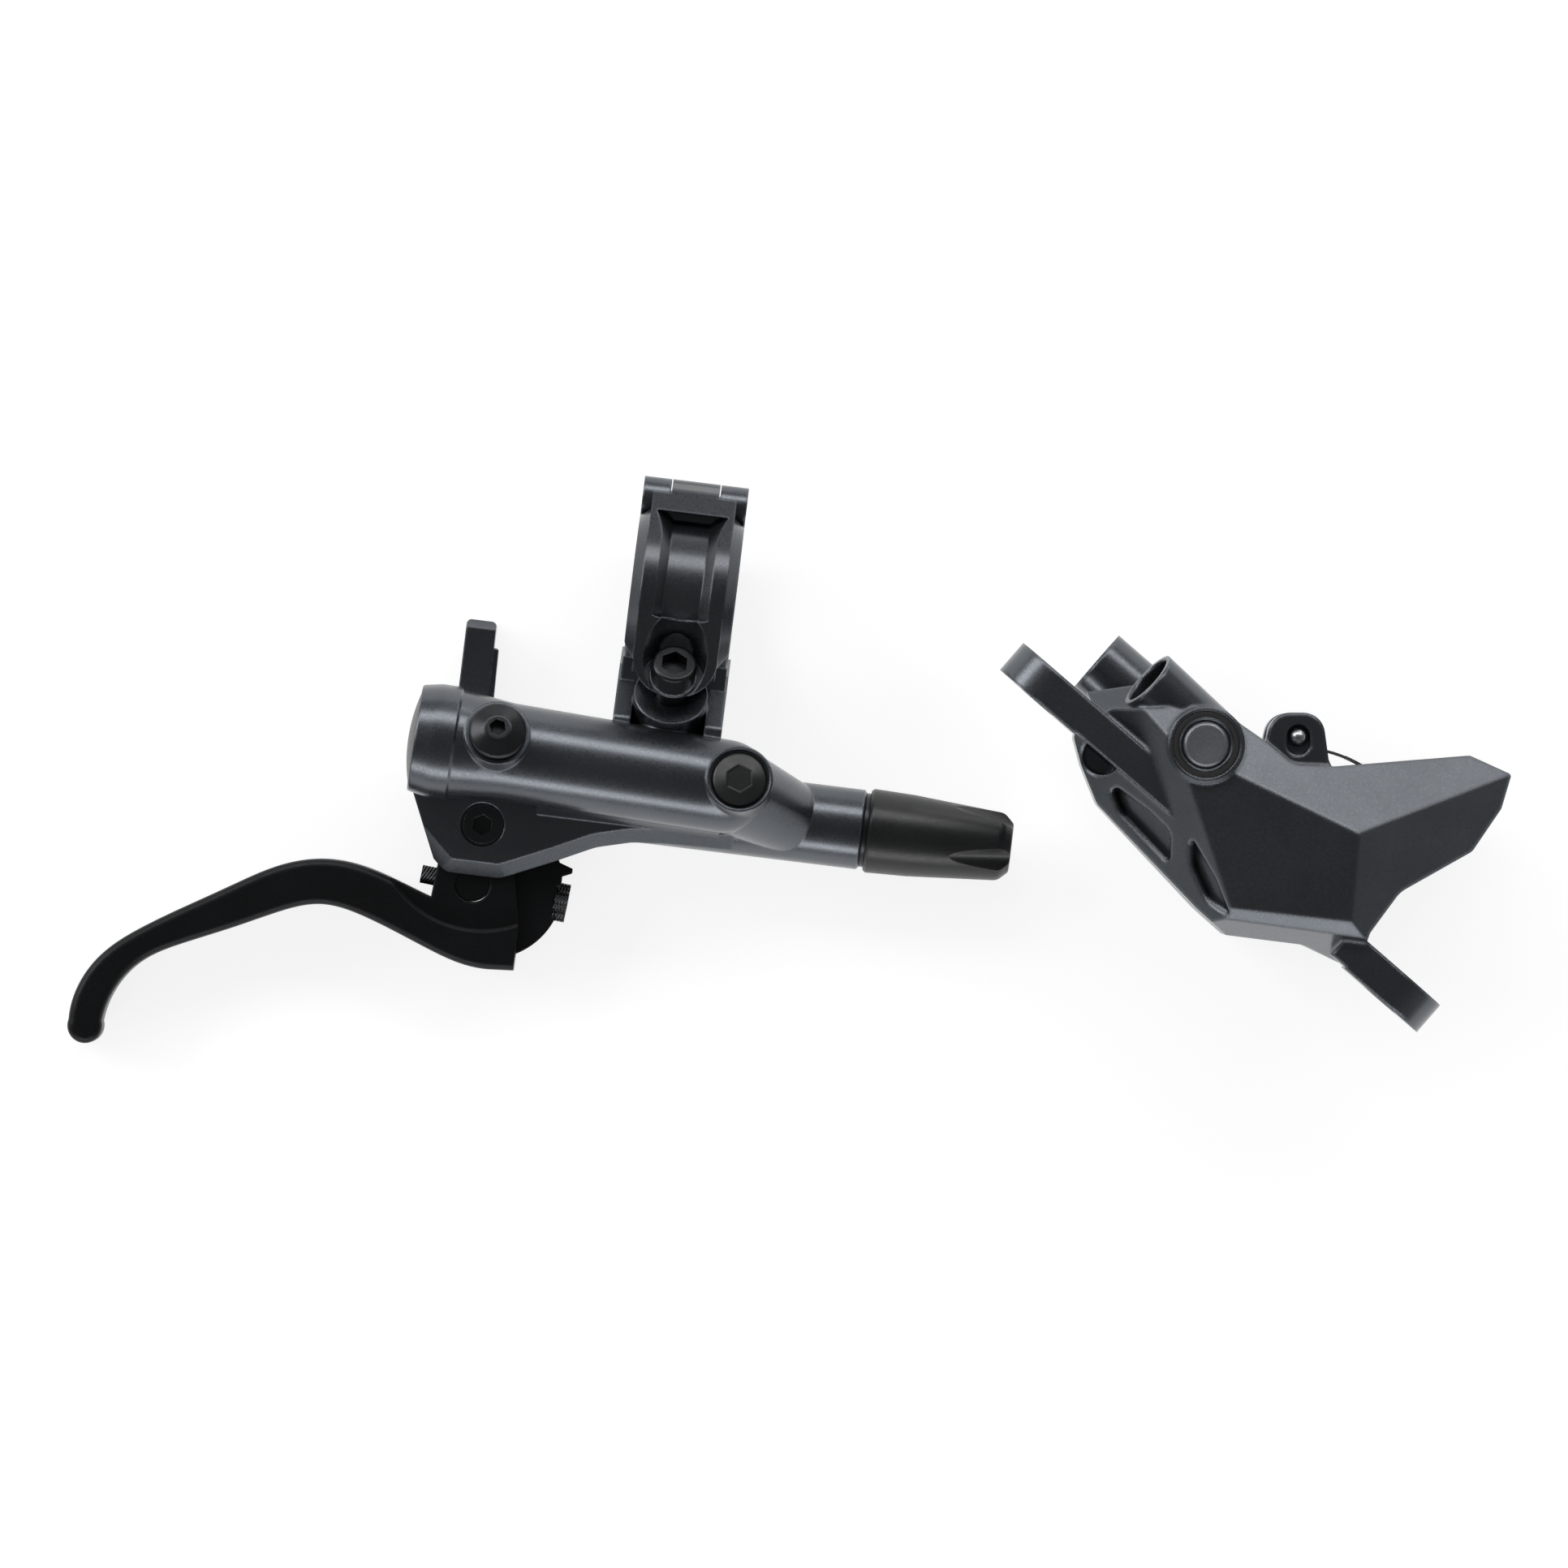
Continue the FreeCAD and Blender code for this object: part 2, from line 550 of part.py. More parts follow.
def body_cuts():
    """Every bore, thread and slot in the casting."""
    cuts = []
    cuts.append(cylinder(RESERVOIR_BORE_R, on_reservoir(-1), on_reservoir(RESERVOIR_BORE_LENGTH)))
    cuts.append(cylinder(CAP_R + 0.05, on_reservoir(-1), on_reservoir(CAP_THICK + FLANGE_OF_DIAPHRAGM)))
    cuts.append(cylinder(MASTER_BORE_R, on_master(MASTER_BORE_MOUTH - 1), on_master(MASTER_BORE_END)))
    cuts.append(cylinder(HOSE_R, on_master(MASTER_BORE_END - 1), on_master(MASTER_TUBE_END)))
    cuts.append(cylinder(HOSE_THREAD_R, on_master(MASTER_TUBE_END - HOSE_THREAD_LENGTH), on_master(MASTER_TUBE_END + 1)))
    cuts.append(cylinder(CIRCLIP_R + 0.1, on_master(CIRCLIP_X - 0.05), on_master(CIRCLIP_X + CIRCLIP_THICK + 0.05)))
    cuts.append(cylinder(TIMING_PORT_R, on_master(TIMING_PORT_X), at_height(on_reservoir(TIMING_PORT_X - RESERVOIR_LEFT),
                                                                            RESERVOIR_Z)))
    blade_slot = [(-60, -70, 0), (-60, BLADE_SLOT_BACK_Y, 0), (MASTER_BORE_MOUTH, BLADE_SLOT_BACK_Y, 0),
                  (MASTER_BORE_MOUTH, MASTER_Y - MASTER_TUBE_R, 0), (SLOT_RIGHT_X, -43.0, 1.5), (SLOT_RIGHT_X, -70, 0)]
    cuts.append(prism(blade_slot, SLOT_BOTTOM, SLOT_TOP))
    cuts.append(box(V(-35.2, -60, MASTER_Z - LINK_SLOT_TALL / 2),
                    V(MASTER_BORE_MOUTH, LINK_SLOT_BACK_Y, MASTER_Z + LINK_SLOT_TALL / 2)))
    cuts.append(cylinder(PIVOT_PIN_R, at_height(PIVOT, BENCH_Z + PIN_SUNK), at_height(PIVOT, PLATE_TOP)))
    cuts.append(cylinder(PIVOT_HEAD_R + 0.5, at_height(PIVOT, PLATE_TOP - PIVOT_HEAD_THICK), at_height(PIVOT, 20)))
    cuts.append(cylinder(PIVOT_PIN_R - 0.9, at_height(PIVOT, BENCH_Z - 1), at_height(PIVOT, BENCH_Z + PIN_SUNK)))
    cuts.append(cylinder(BAR_R, V(-50, 0, 0), V(50, 0, 0)).common(
        box(V(-HALF_CLAMP - 1, -30, -30), V(HALF_CLAMP + 1, 30, 30))))
    cuts.append(cylinder(HINGE_PIN_R, HINGE - X_AXIS * 20, HINGE + X_AXIS * 20))
    cuts.append(cylinder(BOLT_R + BORE_CLEARANCE, on_bolt(BOLT_SEAT - BOLT_LENGTH - 0.8), on_bolt(20)))
    bleed = on_reservoir(BLEED_ALONG)
    cuts.append(cylinder(BLEED_THREAD_R, bleed, bleed + BLEED_UP * 20))
    port = on_reservoir(PLUG_ALONG)
    cuts.append(cylinder(STOPPER_STEM_R, port + PLUG_UP * (PLUG_BOSS_OUT - STOPPER_DEEP), port + PLUG_UP * 20))
    cuts.append(cylinder(STOPPER_R + 0.35, port + PLUG_UP * (PLUG_BOSS_OUT - STOPPER_SUNK), port + PLUG_UP * 20))
    return cuts


def lever_body():
    bleed = on_reservoir(BLEED_ALONG)
    port = on_reservoir(PLUG_ALONG)
    bosses = [cylinder(BLEED_BOSS_R, bleed, bleed + BLEED_UP * BLEED_BOSS_OUT),
              cylinder(PLUG_BOSS_R_LEVER, port, port + PLUG_UP * PLUG_BOSS_OUT)]
    tube = cylinder(MASTER_TUBE_R, on_master(MASTER_BORE_MOUTH), on_master(MASTER_TUBE_END))
    tube = tube.makeChamfer(0.4, edges_where(tube, lambda edge: edge.BoundBox.XMin > MASTER_TUBE_END - 0.01))
    solid = reservoir_outside().fuse([web(), tube, clevis(), rear_block(), brace_finger(), saddle()] + bosses)
    return solid.cut(body_cuts()).removeSplitter()


def reservoir_cap():
    """A pressed-in lid whose face bulges a little beyond the rim."""
    dome_r = (CAP_R ** 2 + CAP_DOME ** 2) / (2 * CAP_DOME)
    dome = Part.makeSphere(dome_r, on_reservoir(dome_r - CAP_DOME))
    return dome.common(cylinder(CAP_R, on_reservoir(-2 * CAP_DOME), on_reservoir(CAP_THICK)))


def reservoir_diaphragm():
    """A rubber bellows whose flange is gripped under the lid."""
    wall = DIAPHRAGM_WALL
    start = 0.0
    outside = [(start, 0, 0), (start, CAP_R, 0), (FLANGE_OF_DIAPHRAGM, CAP_R, 0)]
    radius = RESERVOIR_BORE_R - 0.4
    for fold in range(DIAPHRAGM_FOLDS):
        left = FLANGE_OF_DIAPHRAGM + fold * DIAPHRAGM_PITCH
        outside += [(left, radius, 0), (left + DIAPHRAGM_PITCH / 2, radius - 1.3, 0)]
    end = FLANGE_OF_DIAPHRAGM + DIAPHRAGM_FOLDS * DIAPHRAGM_PITCH
    outside += [(end, radius - 1.3, 0.5), (end, 0, 0)]
    hollow = [(start - 1, 0, 0), (start - 1, radius - 1.3 - wall, 0), (end - wall, radius - 1.3 - wall, 0.4),
              (end - wall, 0, 0)]
    place = on_reservoir(CAP_THICK)
    return turned(outside, place, RESERVOIR_DIR).cut(turned(hollow, place, RESERVOIR_DIR))


def domed_screw(head_r, head_tall, stem_r, stem_long, hex_across, hex_deep):
    """A domed head on a stem, drawn along +X from under the head; the socket is cut into the dome."""
    profile = [(-stem_long, 0, 0), (-stem_long, stem_r, 0.3), (0, stem_r, 0), (0, head_r, 0.2),
               (head_tall * 0.35, head_r, 0.8), (head_tall, head_r * 0.45, 1.0), (head_tall, 0, 0)]
    screw = turned(profile, V(0, 0, 0), X_AXIS)
    socket = hexagon(hex_across, X_AXIS * (head_tall - hex_deep), X_AXIS * (head_tall + 1))
    return screw.cut(socket)


def stand(shape, base, direction):
    """Puts a shape that was drawn along +X onto a base point, pointing in a direction."""
    shape.Placement = FreeCAD.Placement(base, FreeCAD.Rotation(X_AXIS, direction))
    return shape


def bleed_screw():
    seat = on_reservoir(BLEED_ALONG) + BLEED_UP * (BLEED_BOSS_OUT + BLEED_SEAL_THICK)
    stem = BLEED_BOSS_OUT + BLEED_SEAL_THICK - RESERVOIR_BORE_R
    return stand(domed_screw(BLEED_HEAD_R, 2.4, BLEED_THREAD_R, stem, 2.5, 1.6), seat, BLEED_UP)


def bleed_seal():
    base = on_reservoir(BLEED_ALONG) + BLEED_UP * BLEED_BOSS_OUT
    return ring(BLEED_HEAD_R - 0.6, BLEED_THREAD_R, base, base + BLEED_UP * BLEED_SEAL_THICK)


def port_plug():
    seat = on_reservoir(PLUG_ALONG) + PLUG_UP * (PLUG_BOSS_OUT - STOPPER_SUNK)
    return stand(domed_screw(STOPPER_R, 1.5, STOPPER_STEM_R, STOPPER_DEEP - STOPPER_SUNK - 0.3, 4.0, 0.25),
                 seat, PLUG_UP)


# The handlebar clamp

def on_strap(angle):
    """The point (y, z) of the strap's outer face at an angle from the top."""
    outer = BAR_R + BAND_WALL
    return outer * math.sin(math.radians(angle)), outer * math.cos(math.radians(angle))


def band_lug():
    """The lug runs on from the strap as a straight slope, with a round nose in plan."""
    y, z = on_strap(-LUG_SLOPE)
    body = prism(lug_outline(0), -10, 30).common(half_space(V(0, y, 0), V(0, -1, 0)))
    lean = math.radians(LUG_SLOPE)
    return body.cut(half_space(V(0, y, z), V(0, -math.sin(lean), math.cos(lean))))


def band_lip():
    """The strap's end over the fixed ears, and the neck that carries it on to the hinge."""
    y, z = on_strap(LIP_SLOPE)
    fall = math.tan(math.radians(LIP_SLOPE))
    lip = side_prism([(y, z, 0), (LIP_Y, z - fall * (LIP_Y - y), 0.6), (LIP_Y, 2.0, 0), (12.5, 0.6, 0), (8.0, 8.5, 0)],
                     -BAND_FLAT_HALF, BAND_FLAT_HALF)
    neck = side_prism([(y, z, 0), (17.0, z - fall * (17.0 - y), 2.0), (HINGE_Y + HINGE_R, 0.3, 0),
                       (HINGE_Y, -1.0, 0), (12.4, 0.6, 0), (8.0, 8.5, 0)], -HALF_TONGUE, HALF_TONGUE)
    barrel = cylinder(HINGE_R, HINGE - X_AXIS * HALF_TONGUE, HINGE + X_AXIS * HALF_TONGUE)
    return [lip, neck, barrel]


def band_panel():
    """The sunk panel: a shallow trough turned about the handlebar, with sloping sides."""
    floor = BAR_R + BAND_WALL - PANEL_DEEP
    deep = 3.0
    trough = turned([(-PANEL_HALF - deep * 1.1, floor + deep, 0), (-PANEL_HALF, floor, 0), (PANEL_HALF, floor, 0),
                     (PANEL_HALF + deep * 1.1, floor + deep, 0)], V(0, 0, 0), X_AXIS)
    corner = PANEL_HALF + 0.6
    return trough.common(prism([(-9, PANEL_TO_Y, 0), (9, PANEL_TO_Y, 0), (9, 0, 0), (PANEL_HALF + 1.6, PANEL_FROM_Y, corner),
                                (-PANEL_HALF - 1.6, PANEL_FROM_Y, corner), (-9, 0, 0)], PANEL_LEDGE_Z, 30))


def clamp_band():
    """The hinged half: a strap with a sunk panel, a hinge tongue and a lug for the bolt."""
    strap = arc_sector(BAR_R, BAR_R + BAND_WALL, BAND_FROM, BAND_TO, -HALF_CLAMP, HALF_CLAMP)
    rims = edges_where(strap, lambda edge: edge.BoundBox.XLength < 0.01 and edge.Length > 30)
    outer_rims = [edge for edge in rims if edge.Length > (BAR_R + BAND_WALL / 2) * math.pi * 0.9]
    strap = strap.makeChamfer(BAND_BEVEL, outer_rims)
    outline = [(-HALF_CLAMP, 20, 0), (-HALF_CLAMP, -9.0, 1.5), (-BAND_FLAT_HALF, -11.5, 0), (-BAND_FLAT_HALF, -20, 0),
               (BAND_FLAT_HALF, -20, 0), (BAND_FLAT_HALF, -11.5, 0), (HALF_CLAMP, -9.0, 1.5), (HALF_CLAMP, 20, 0)]
    strap = strap.common(prism(outline, -30, 30))
    solid = strap.fuse([band_lug()] + band_lip())
    ear_room = [cylinder(HINGE_R + HINGE_CLEARANCE, HINGE + X_AXIS * (HALF_TONGUE + 0.02) * side,
                         HINGE + X_AXIS * 20 * side) for side in (-1, 1)]
    counterbore = cylinder(COUNTERBORE_R, on_bolt(LUG_SEAT), on_bolt(20))
    below_lug = half_space(on_bolt(LUG_UNDERSIDE), BOLT_UP * -1).common(half_space(V(0, -2, 0), V(0, -1, 0)))
    return solid.cut(ear_room + [cylinder(BAR_R, V(-50, 0, 0), V(50, 0, 0)), band_panel(), counterbore, below_lug,
                                 cylinder(HINGE_PIN_R + BORE_CLEARANCE, HINGE - X_AXIS * 20, HINGE + X_AXIS * 20),
                                 cylinder(BAND_HOLE_R, on_bolt(-20), on_bolt(20))]).removeSplitter()


def clamp_hinge_pin():
    return cylinder(HINGE_PIN_R, HINGE - X_AXIS * (HALF_CLAMP - 0.3), HINGE + X_AXIS * (HALF_CLAMP - 0.3))


def clamp_bolt():
    profile = [(BOLT_SEAT - BOLT_LENGTH, 0, 0), (BOLT_SEAT - BOLT_LENGTH, BOLT_R, 0.5), (BOLT_SEAT, BOLT_R, 0),
               (BOLT_SEAT, BOLT_HEAD_R, 0), (BOLT_HEAD_TOP, BOLT_HEAD_R, 0.6), (BOLT_HEAD_TOP, 0, 0)]
    socket = hexagon(BOLT_HEX, on_bolt(BOLT_HEAD_TOP - 2.4), on_bolt(BOLT_HEAD_TOP + 1))
    return turned(profile, BOLT_FOOT, BOLT_UP).cut(socket)


def clamp_washer():
    return ring(WASHER_R, BOLT_R, on_bolt(BOLT_SEAT - WASHER_THICK), on_bolt(BOLT_SEAT))


# The lever blade and its linkage

def blade_outline():
    """The blade seen from above: the finger side and the handlebar side are smooth curves."""
    bar_side = [(-35.2, -54.3), (-40.1, -52.6), (-46.4, -50.7), (-53.2, -50.2), (-59.2, -51.6), (-68.5, -56.7),
                (-81.0, -64.5), (-88.6, -71.2), (-91.4, -77.0), (-91.9, -81.5)]
    finger_side = [(-86.4, -81.2), (-85.1, -76.0), (-81.5, -70.9), (-75.1, -67.0), (-66.8, -63.2), (-60.0, -59.9),
                   (-53.0, -57.7), (-45.5, -58.9), (-34.8, -62.8), (-29.0, -64.6), (-24.4, -65.0)]
    bar_curve = Part.BSplineCurve()
    bar_curve.interpolate([V(x, y, 0) for x, y in bar_side])
    finger_curve = Part.BSplineCurve()
    finger_curve.interpolate([V(x, y, 0) for x, y in finger_side])
    tip = Part.Arc(V(*bar_side[-1], 0), V(-90.0, -85.0, 0), V(*finger_side[0], 0))
    right_x = -20.3
    eye = BLADE_EYE_R
    eye_left = V(PIVOT_X - eye, PIVOT_Y, 0)
    eye_right = V(PIVOT_X + eye, PIVOT_Y, 0)
    edges = [bar_curve.toShape(), tip.toShape(), finger_curve.toShape(),
             Part.LineSegment(V(*finger_side[-1], 0), V(right_x, -64.7, 0)).toShape(),
             Part.LineSegment(V(right_x, -64.7, 0), V(right_x, -57.0, 0)).toShape(),
             Part.LineSegment(V(right_x, -57.0, 0), eye_right).toShape(),
             Part.Arc(eye_right, V(PIVOT_X, PIVOT_Y + eye, 0), eye_left).toShape(),
             Part.LineSegment(eye_left, V(-34.6, -47.0, 0)).toShape(),
             Part.LineSegment(V(-34.6, -47.0, 0), V(*bar_side[0], 0)).toShape()]
    return Part.Wire(edges)


def lever_blade():
    face = Part.Face(blade_outline())
    face.translate(V(0, 0, BLADE_LOW))
    solid = face.extrude(V(0, 0, BLADE_WIDTH))
    long_edges = edges_where(solid, lambda edge: edge.BoundBox.ZLength < 0.01 and edge.BoundBox.XMin < -40)
    solid = solid.makeFillet(BLADE_EDGE_R, long_edges)
    slab = [box(V(-60, -80, BASE_HIGH), V(0, -30, 10)), box(V(-60, -80, -30), V(0, -30, BASE_LOW))]
    near_pivot = cylinder(BASE_REACH, at_height(PIVOT, -40), at_height(PIVOT, 20))
    solid = solid.cut([part.common(near_pivot) for part in slab])
    window = prism([(-60, -46.6, 0), (-26.8, -46.6, 0), (-24.9, -67.0, 0), (0, -67.0, 0), (0, -30, 0), (-60, -30, 0)],
                   CARRIER_LOW - FORK_PLAY, CARRIER_HIGH + FORK_PLAY)
    lobe_room = cylinder(LOBE_R + 0.5, V(LOBE_X, LOBE_Y, CARRIER_LOW - FORK_PLAY),
                         V(LOBE_X, LOBE_Y, CARRIER_HIGH + FORK_PLAY))
    low_wall = prism([(-25.1, -62.2, 0), (-25.1, -70, 0), (0, -70, 0), (0, -62.2, 0)], -30, 0).cut(lobe_room)
    window = window.cut(low_wall)
    screw_room = box(V(-40, TRUNNION.y - REACH_SCREW_R - 1.4, MASTER_Z - REACH_SCREW_R - 0.3),
                     V(-24, TRUNNION.y + REACH_SCREW_R + 1.4, MASTER_Z + REACH_SCREW_R + 0.3))
    barrel_hole = cylinder(TRUNNION_R + TRUNNION_CLEARANCE, at_height(TRUNNION, BASE_LOW - 1),
                           at_height(TRUNNION, BASE_HIGH + 1))
    pin_hole = cylinder(PIVOT_PIN_R + BORE_CLEARANCE, at_height(PIVOT, -30), at_height(PIVOT, 10))
    return solid.cut([window, screw_room, barrel_hole, pin_hole])


def trunnion_nut():
    barrel = cylinder(TRUNNION_R, at_height(TRUNNION, BASE_LOW + 0.2), at_height(TRUNNION, BASE_HIGH - 0.2))
    hole = cylinder(REACH_SCREW_R + BORE_CLEARANCE, TRUNNION - REACH_DIR * 10, TRUNNION + REACH_DIR * 10)
    return barrel.cut(hole)


def lever_carrier():
    """The cam between blade and push rod: a pivot eye, a forked arm and a round lobe for the reach screw."""
    low, high = CARRIER_LOW, CARRIER_HIGH
    eye = cylinder(CARRIER_EYE_R, at_height(PIVOT, low), at_height(PIVOT, high))
    tip = cylinder(LINK_PIN_R + 1.6, at_height(LINK_PIN, low), at_height(LINK_PIN, high))
    across = V(math.cos(LINK_TURN), -math.sin(LINK_TURN), 0)
    arm_points = [PIVOT - across * 4.0, PIVOT + across * 4.0, LINK_PIN + across * 3.0, LINK_PIN - across * 3.0]
    arm = prism([(point.x, point.y, 0) for point in arm_points], low, high)
    lobe = cylinder(LOBE_R, V(LOBE_X, LOBE_Y, low), V(LOBE_X, LOBE_Y, high))
    limits = prism([(-29.2, -45.7, 0), (-25.2, -46.5, 0), (-22.9, -65.0, 0), (0, -65.0, 0), (0, -55.6, 0),
                    (-14.2, -55.6, 0.5), (-14.2, -46.0, 0.8), (-20.2, -41.9, 2.0), (-24.5, -39.1, 0),
                    (PIVOT_X, PIVOT_Y, 0)], low, high)
    pointer = prism([(-16.5, -45.6, 0), (-16.5, -48.6, 0), (-14.4, -48.5, 0.3), (-12.6, -47.7, 0.3), (-12.6, -46.9, 0.3)],
                    high - 1.6, high)
    root = prism([(PIVOT_X, PIVOT_Y, 0), (-29.2, -45.7, 0), (-25.2, -46.5, 0), (-22.0, -44.0, 0), (-24.5, -39.1, 0)],
                 low, high)
    solid = eye.fuse([tip, arm, lobe.common(limits), root, pointer])
    fork = box(V(-45, PIVOT_Y + CARRIER_EYE_R, MASTER_Z - ROD_THICK / 2 - FORK_PLAY),
               V(-10, -20, MASTER_Z + ROD_THICK / 2 + FORK_PLAY))
    rod_room = cylinder(ROD_EYE_R + 0.35, at_height(LINK_PIN, MASTER_Z - ROD_THICK / 2 - FORK_PLAY),
                        at_height(LINK_PIN, MASTER_Z + ROD_THICK / 2 + FORK_PLAY))
    spot = cylinder(REACH_HEAD_R + 0.5, REACH_START, REACH_START - REACH_DIR * 10)
    screw_hole = cylinder(REACH_SCREW_R + BORE_CLEARANCE, REACH_START + REACH_DIR * 20, REACH_START)
    return solid.cut([fork, rod_room, spot, screw_hole,
                      cylinder(BUSH_R, at_height(PIVOT, -30), at_height(PIVOT, 10)),
                      cylinder(LINK_PIN_R, at_height(LINK_PIN, -30), at_height(LINK_PIN, 10))])


def pivot_bush():
    return ring(BUSH_R, PIVOT_PIN_R + BORE_CLEARANCE, at_height(PIVOT, CARRIER_LOW), at_height(PIVOT, CARRIER_HIGH))


def pivot_pin():
    shank = cylinder(PIVOT_PIN_R, at_height(PIVOT, BENCH_Z + PIN_SUNK), at_height(PIVOT, PLATE_TOP))
    head = cylinder(PIVOT_HEAD_R, at_height(PIVOT, PLATE_TOP - PIVOT_HEAD_THICK), at_height(PIVOT, PLATE_TOP - 0.1))
    socket = hexagon(3.0, at_height(PIVOT, PLATE_TOP - 1.2), at_height(PIVOT, 5))
    return fuse(shank, head).cut([socket, box(V(-60, -60, PLATE_TOP - 0.1), V(0, 0, 5))])


def link_pin():
    return cylinder(LINK_PIN_R, at_height(LINK_PIN, CARRIER_LOW), at_height(LINK_PIN, CARRIER_HIGH))


def reach_screw():
    """A long screw whose knurled head is turned by hand; its far end has a socket too."""
    length = (V(REACH_TIP[0], REACH_TIP[1], MASTER_Z) - REACH_START).Length
    shank = cylinder(REACH_SCREW_R, REACH_START - REACH_DIR * 0.5, REACH_START + REACH_DIR * length)
    end = REACH_START + REACH_DIR * length
    collar = cylinder(REACH_SCREW_R - 0.6, end, end + REACH_DIR * 0.1)
    head = cylinder(REACH_HEAD_R, REACH_START, REACH_START - REACH_DIR * REACH_HEAD_THICK)
    notches = []
    across = V(-REACH_DIR.y, REACH_DIR.x, 0)
    for i in range(REACH_KNURLS):
        turn = 2 * math.pi * i / REACH_KNURLS
        side = (across * math.cos(turn) + Z_AXIS * math.sin(turn)) * (REACH_HEAD_R + 0.15)
        notches.append(cylinder(0.45, REACH_START + side + REACH_DIR, REACH_START + side - REACH_DIR * 5))
    socket = hexagon(2.0, REACH_START - REACH_DIR * 1.2, REACH_START - REACH_DIR * 6)
    far_socket = hexagon(2.0, end - REACH_DIR * 1.6, end + REACH_DIR * 2)
    return shank.fuse([head, collar]).cut(notches + [socket, far_socket])


# The master cylinder's inner parts

def push_rod():
    eye = cylinder(ROD_EYE_R, V(LINK_PIN.x, MASTER_Y, MASTER_Z - ROD_THICK / 2),
                   V(LINK_PIN.x, MASTER_Y, MASTER_Z + ROD_THICK / 2))
    rod = cylinder(ROD_R, V(LINK_PIN.x, MASTER_Y, MASTER_Z), on_master(BALL_X))
    ball = Part.makeSphere(BALL_R, on_master(BALL_X))
    hole = cylinder(LINK_PIN_R + LINK_CLEARANCE, V(LINK_PIN.x, MASTER_Y, -30), V(LINK_PIN.x, MASTER_Y, 10))
    return eye.fuse([rod, ball]).cut(hole).removeSplitter()


def master_piston():
    """A spool with a cup for the ball and two grooves for its seals."""
    outer = MASTER_BORE_R - BORE_CLEARANCE
    groove = outer - SEAL_DEEP
    back, front = PISTON_BACK_X, PISTON_FRONT_X
    second, first = SECONDARY_CUP_X, PRIMARY_CUP_X
    profile = [(back, 0, 0), (back, outer, 0.3), (second, outer, 0), (second, groove, 0),
               (second + CUP_LONG, groove, 0), (second + CUP_LONG, outer, 0), (second + CUP_LONG + 1, outer, 0),
               (second + CUP_LONG + 2.2, outer - 1.5, 0), (first - 2.2, outer - 1.5, 0), (first - 1, outer, 0),
               (first, outer, 0), (first, groove, 0), (first + CUP_LONG, groove, 0), (first + CUP_LONG, outer, 0),
               (front, outer, 0.4), (front, SPIGOT_R, 0), (front + SPIGOT_LONG, SPIGOT_R, 0.4),
               (front + SPIGOT_LONG, 0, 0)]
    solid = turned(profile, on_master(0), X_AXIS)
    mouth = cylinder(BALL_R + 0.5, on_master(back - 1), on_master(BALL_X))
    return solid.cut([Part.makeSphere(BALL_R + 0.02, on_master(BALL_X)), mouth])


def piston_cup(start):
    """A lip seal: its lip opens towards the pressure side and just touches the bore."""
    outer = MASTER_BORE_R - BORE_CLEARANCE / 2
    groove = MASTER_BORE_R - BORE_CLEARANCE - SEAL_DEEP
    profile = [(0, groove, 0), (0, outer - 0.35, 0), (CUP_LONG - 0.1, outer, 0), (CUP_LONG - 0.1, outer - 0.5, 0),
               (CUP_LONG * 0.45, outer - 0.75, 0), (CUP_LONG * 0.45, groove, 0)]
    return turned(profile, on_master(start), X_AXIS)


def return_spring():
    """A helix of round wire between the piston and the bottom of the bore."""
    start = PISTON_FRONT_X + SPRING_WIRE_R + 0.02
    length = MASTER_BORE_END - PISTON_FRONT_X - 2 * SPRING_WIRE_R - 0.04
    helix = Part.makeHelix(length / SPRING_TURNS, length, SPRING_R)
    wire = Part.Wire(helix)
    first = wire.Edges[0]
    tangent = first.tangentAt(first.FirstParameter)
    section = Part.Wire(Part.makeCircle(SPRING_WIRE_R, first.valueAt(first.FirstParameter), tangent))
    coil = wire.makePipeShell([section], True, True)
    coil.Placement = FreeCAD.Placement(on_master(start), FreeCAD.Rotation(Z_AXIS, X_AXIS))
    return coil


def circlip():
    base = on_master(CIRCLIP_X)
    clip = ring(CIRCLIP_R, ROD_PASS_R, base, base + X_AXIS * CIRCLIP_THICK)
    gap = box(V(CIRCLIP_X - 1, MASTER_Y - 10, MASTER_Z - 1.0), V(CIRCLIP_X + 2, MASTER_Y, MASTER_Z + 1.0))
    return clip.cut(gap)


# The hose end of the lever

def olive():
    socket = MASTER_TUBE_END - HOSE_THREAD_LENGTH
    profile = [(socket, HOSE_R, 0), (socket, HOSE_THREAD_R - 0.9, 0.2), (socket + 1.6, HOSE_THREAD_R - 0.15, 0.3),
               (socket + OLIVE_LONG, HOSE_THREAD_R - 0.9, 0), (socket + OLIVE_LONG, HOSE_R, 0)]
    return turned(profile, on_master(0), X_AXIS)


def hose_nut():
    start = MASTER_TUBE_END - HOSE_THREAD_LENGTH + OLIVE_LONG
    stem = cylinder(HOSE_THREAD_R, on_master(start), on_master(MASTER_TUBE_END))
    flange = cylinder(MASTER_TUBE_R - 0.5, on_master(MASTER_TUBE_END), on_master(COVER_START))
    hexed = hexagon(NUT_HEX, on_master(COVER_START), on_master(COVER_START + NUT_HEX_LONG))
    return stem.fuse([flange, hexed]).cut(cylinder(HOSE_R + 0.1, on_master(0), on_master(80)))


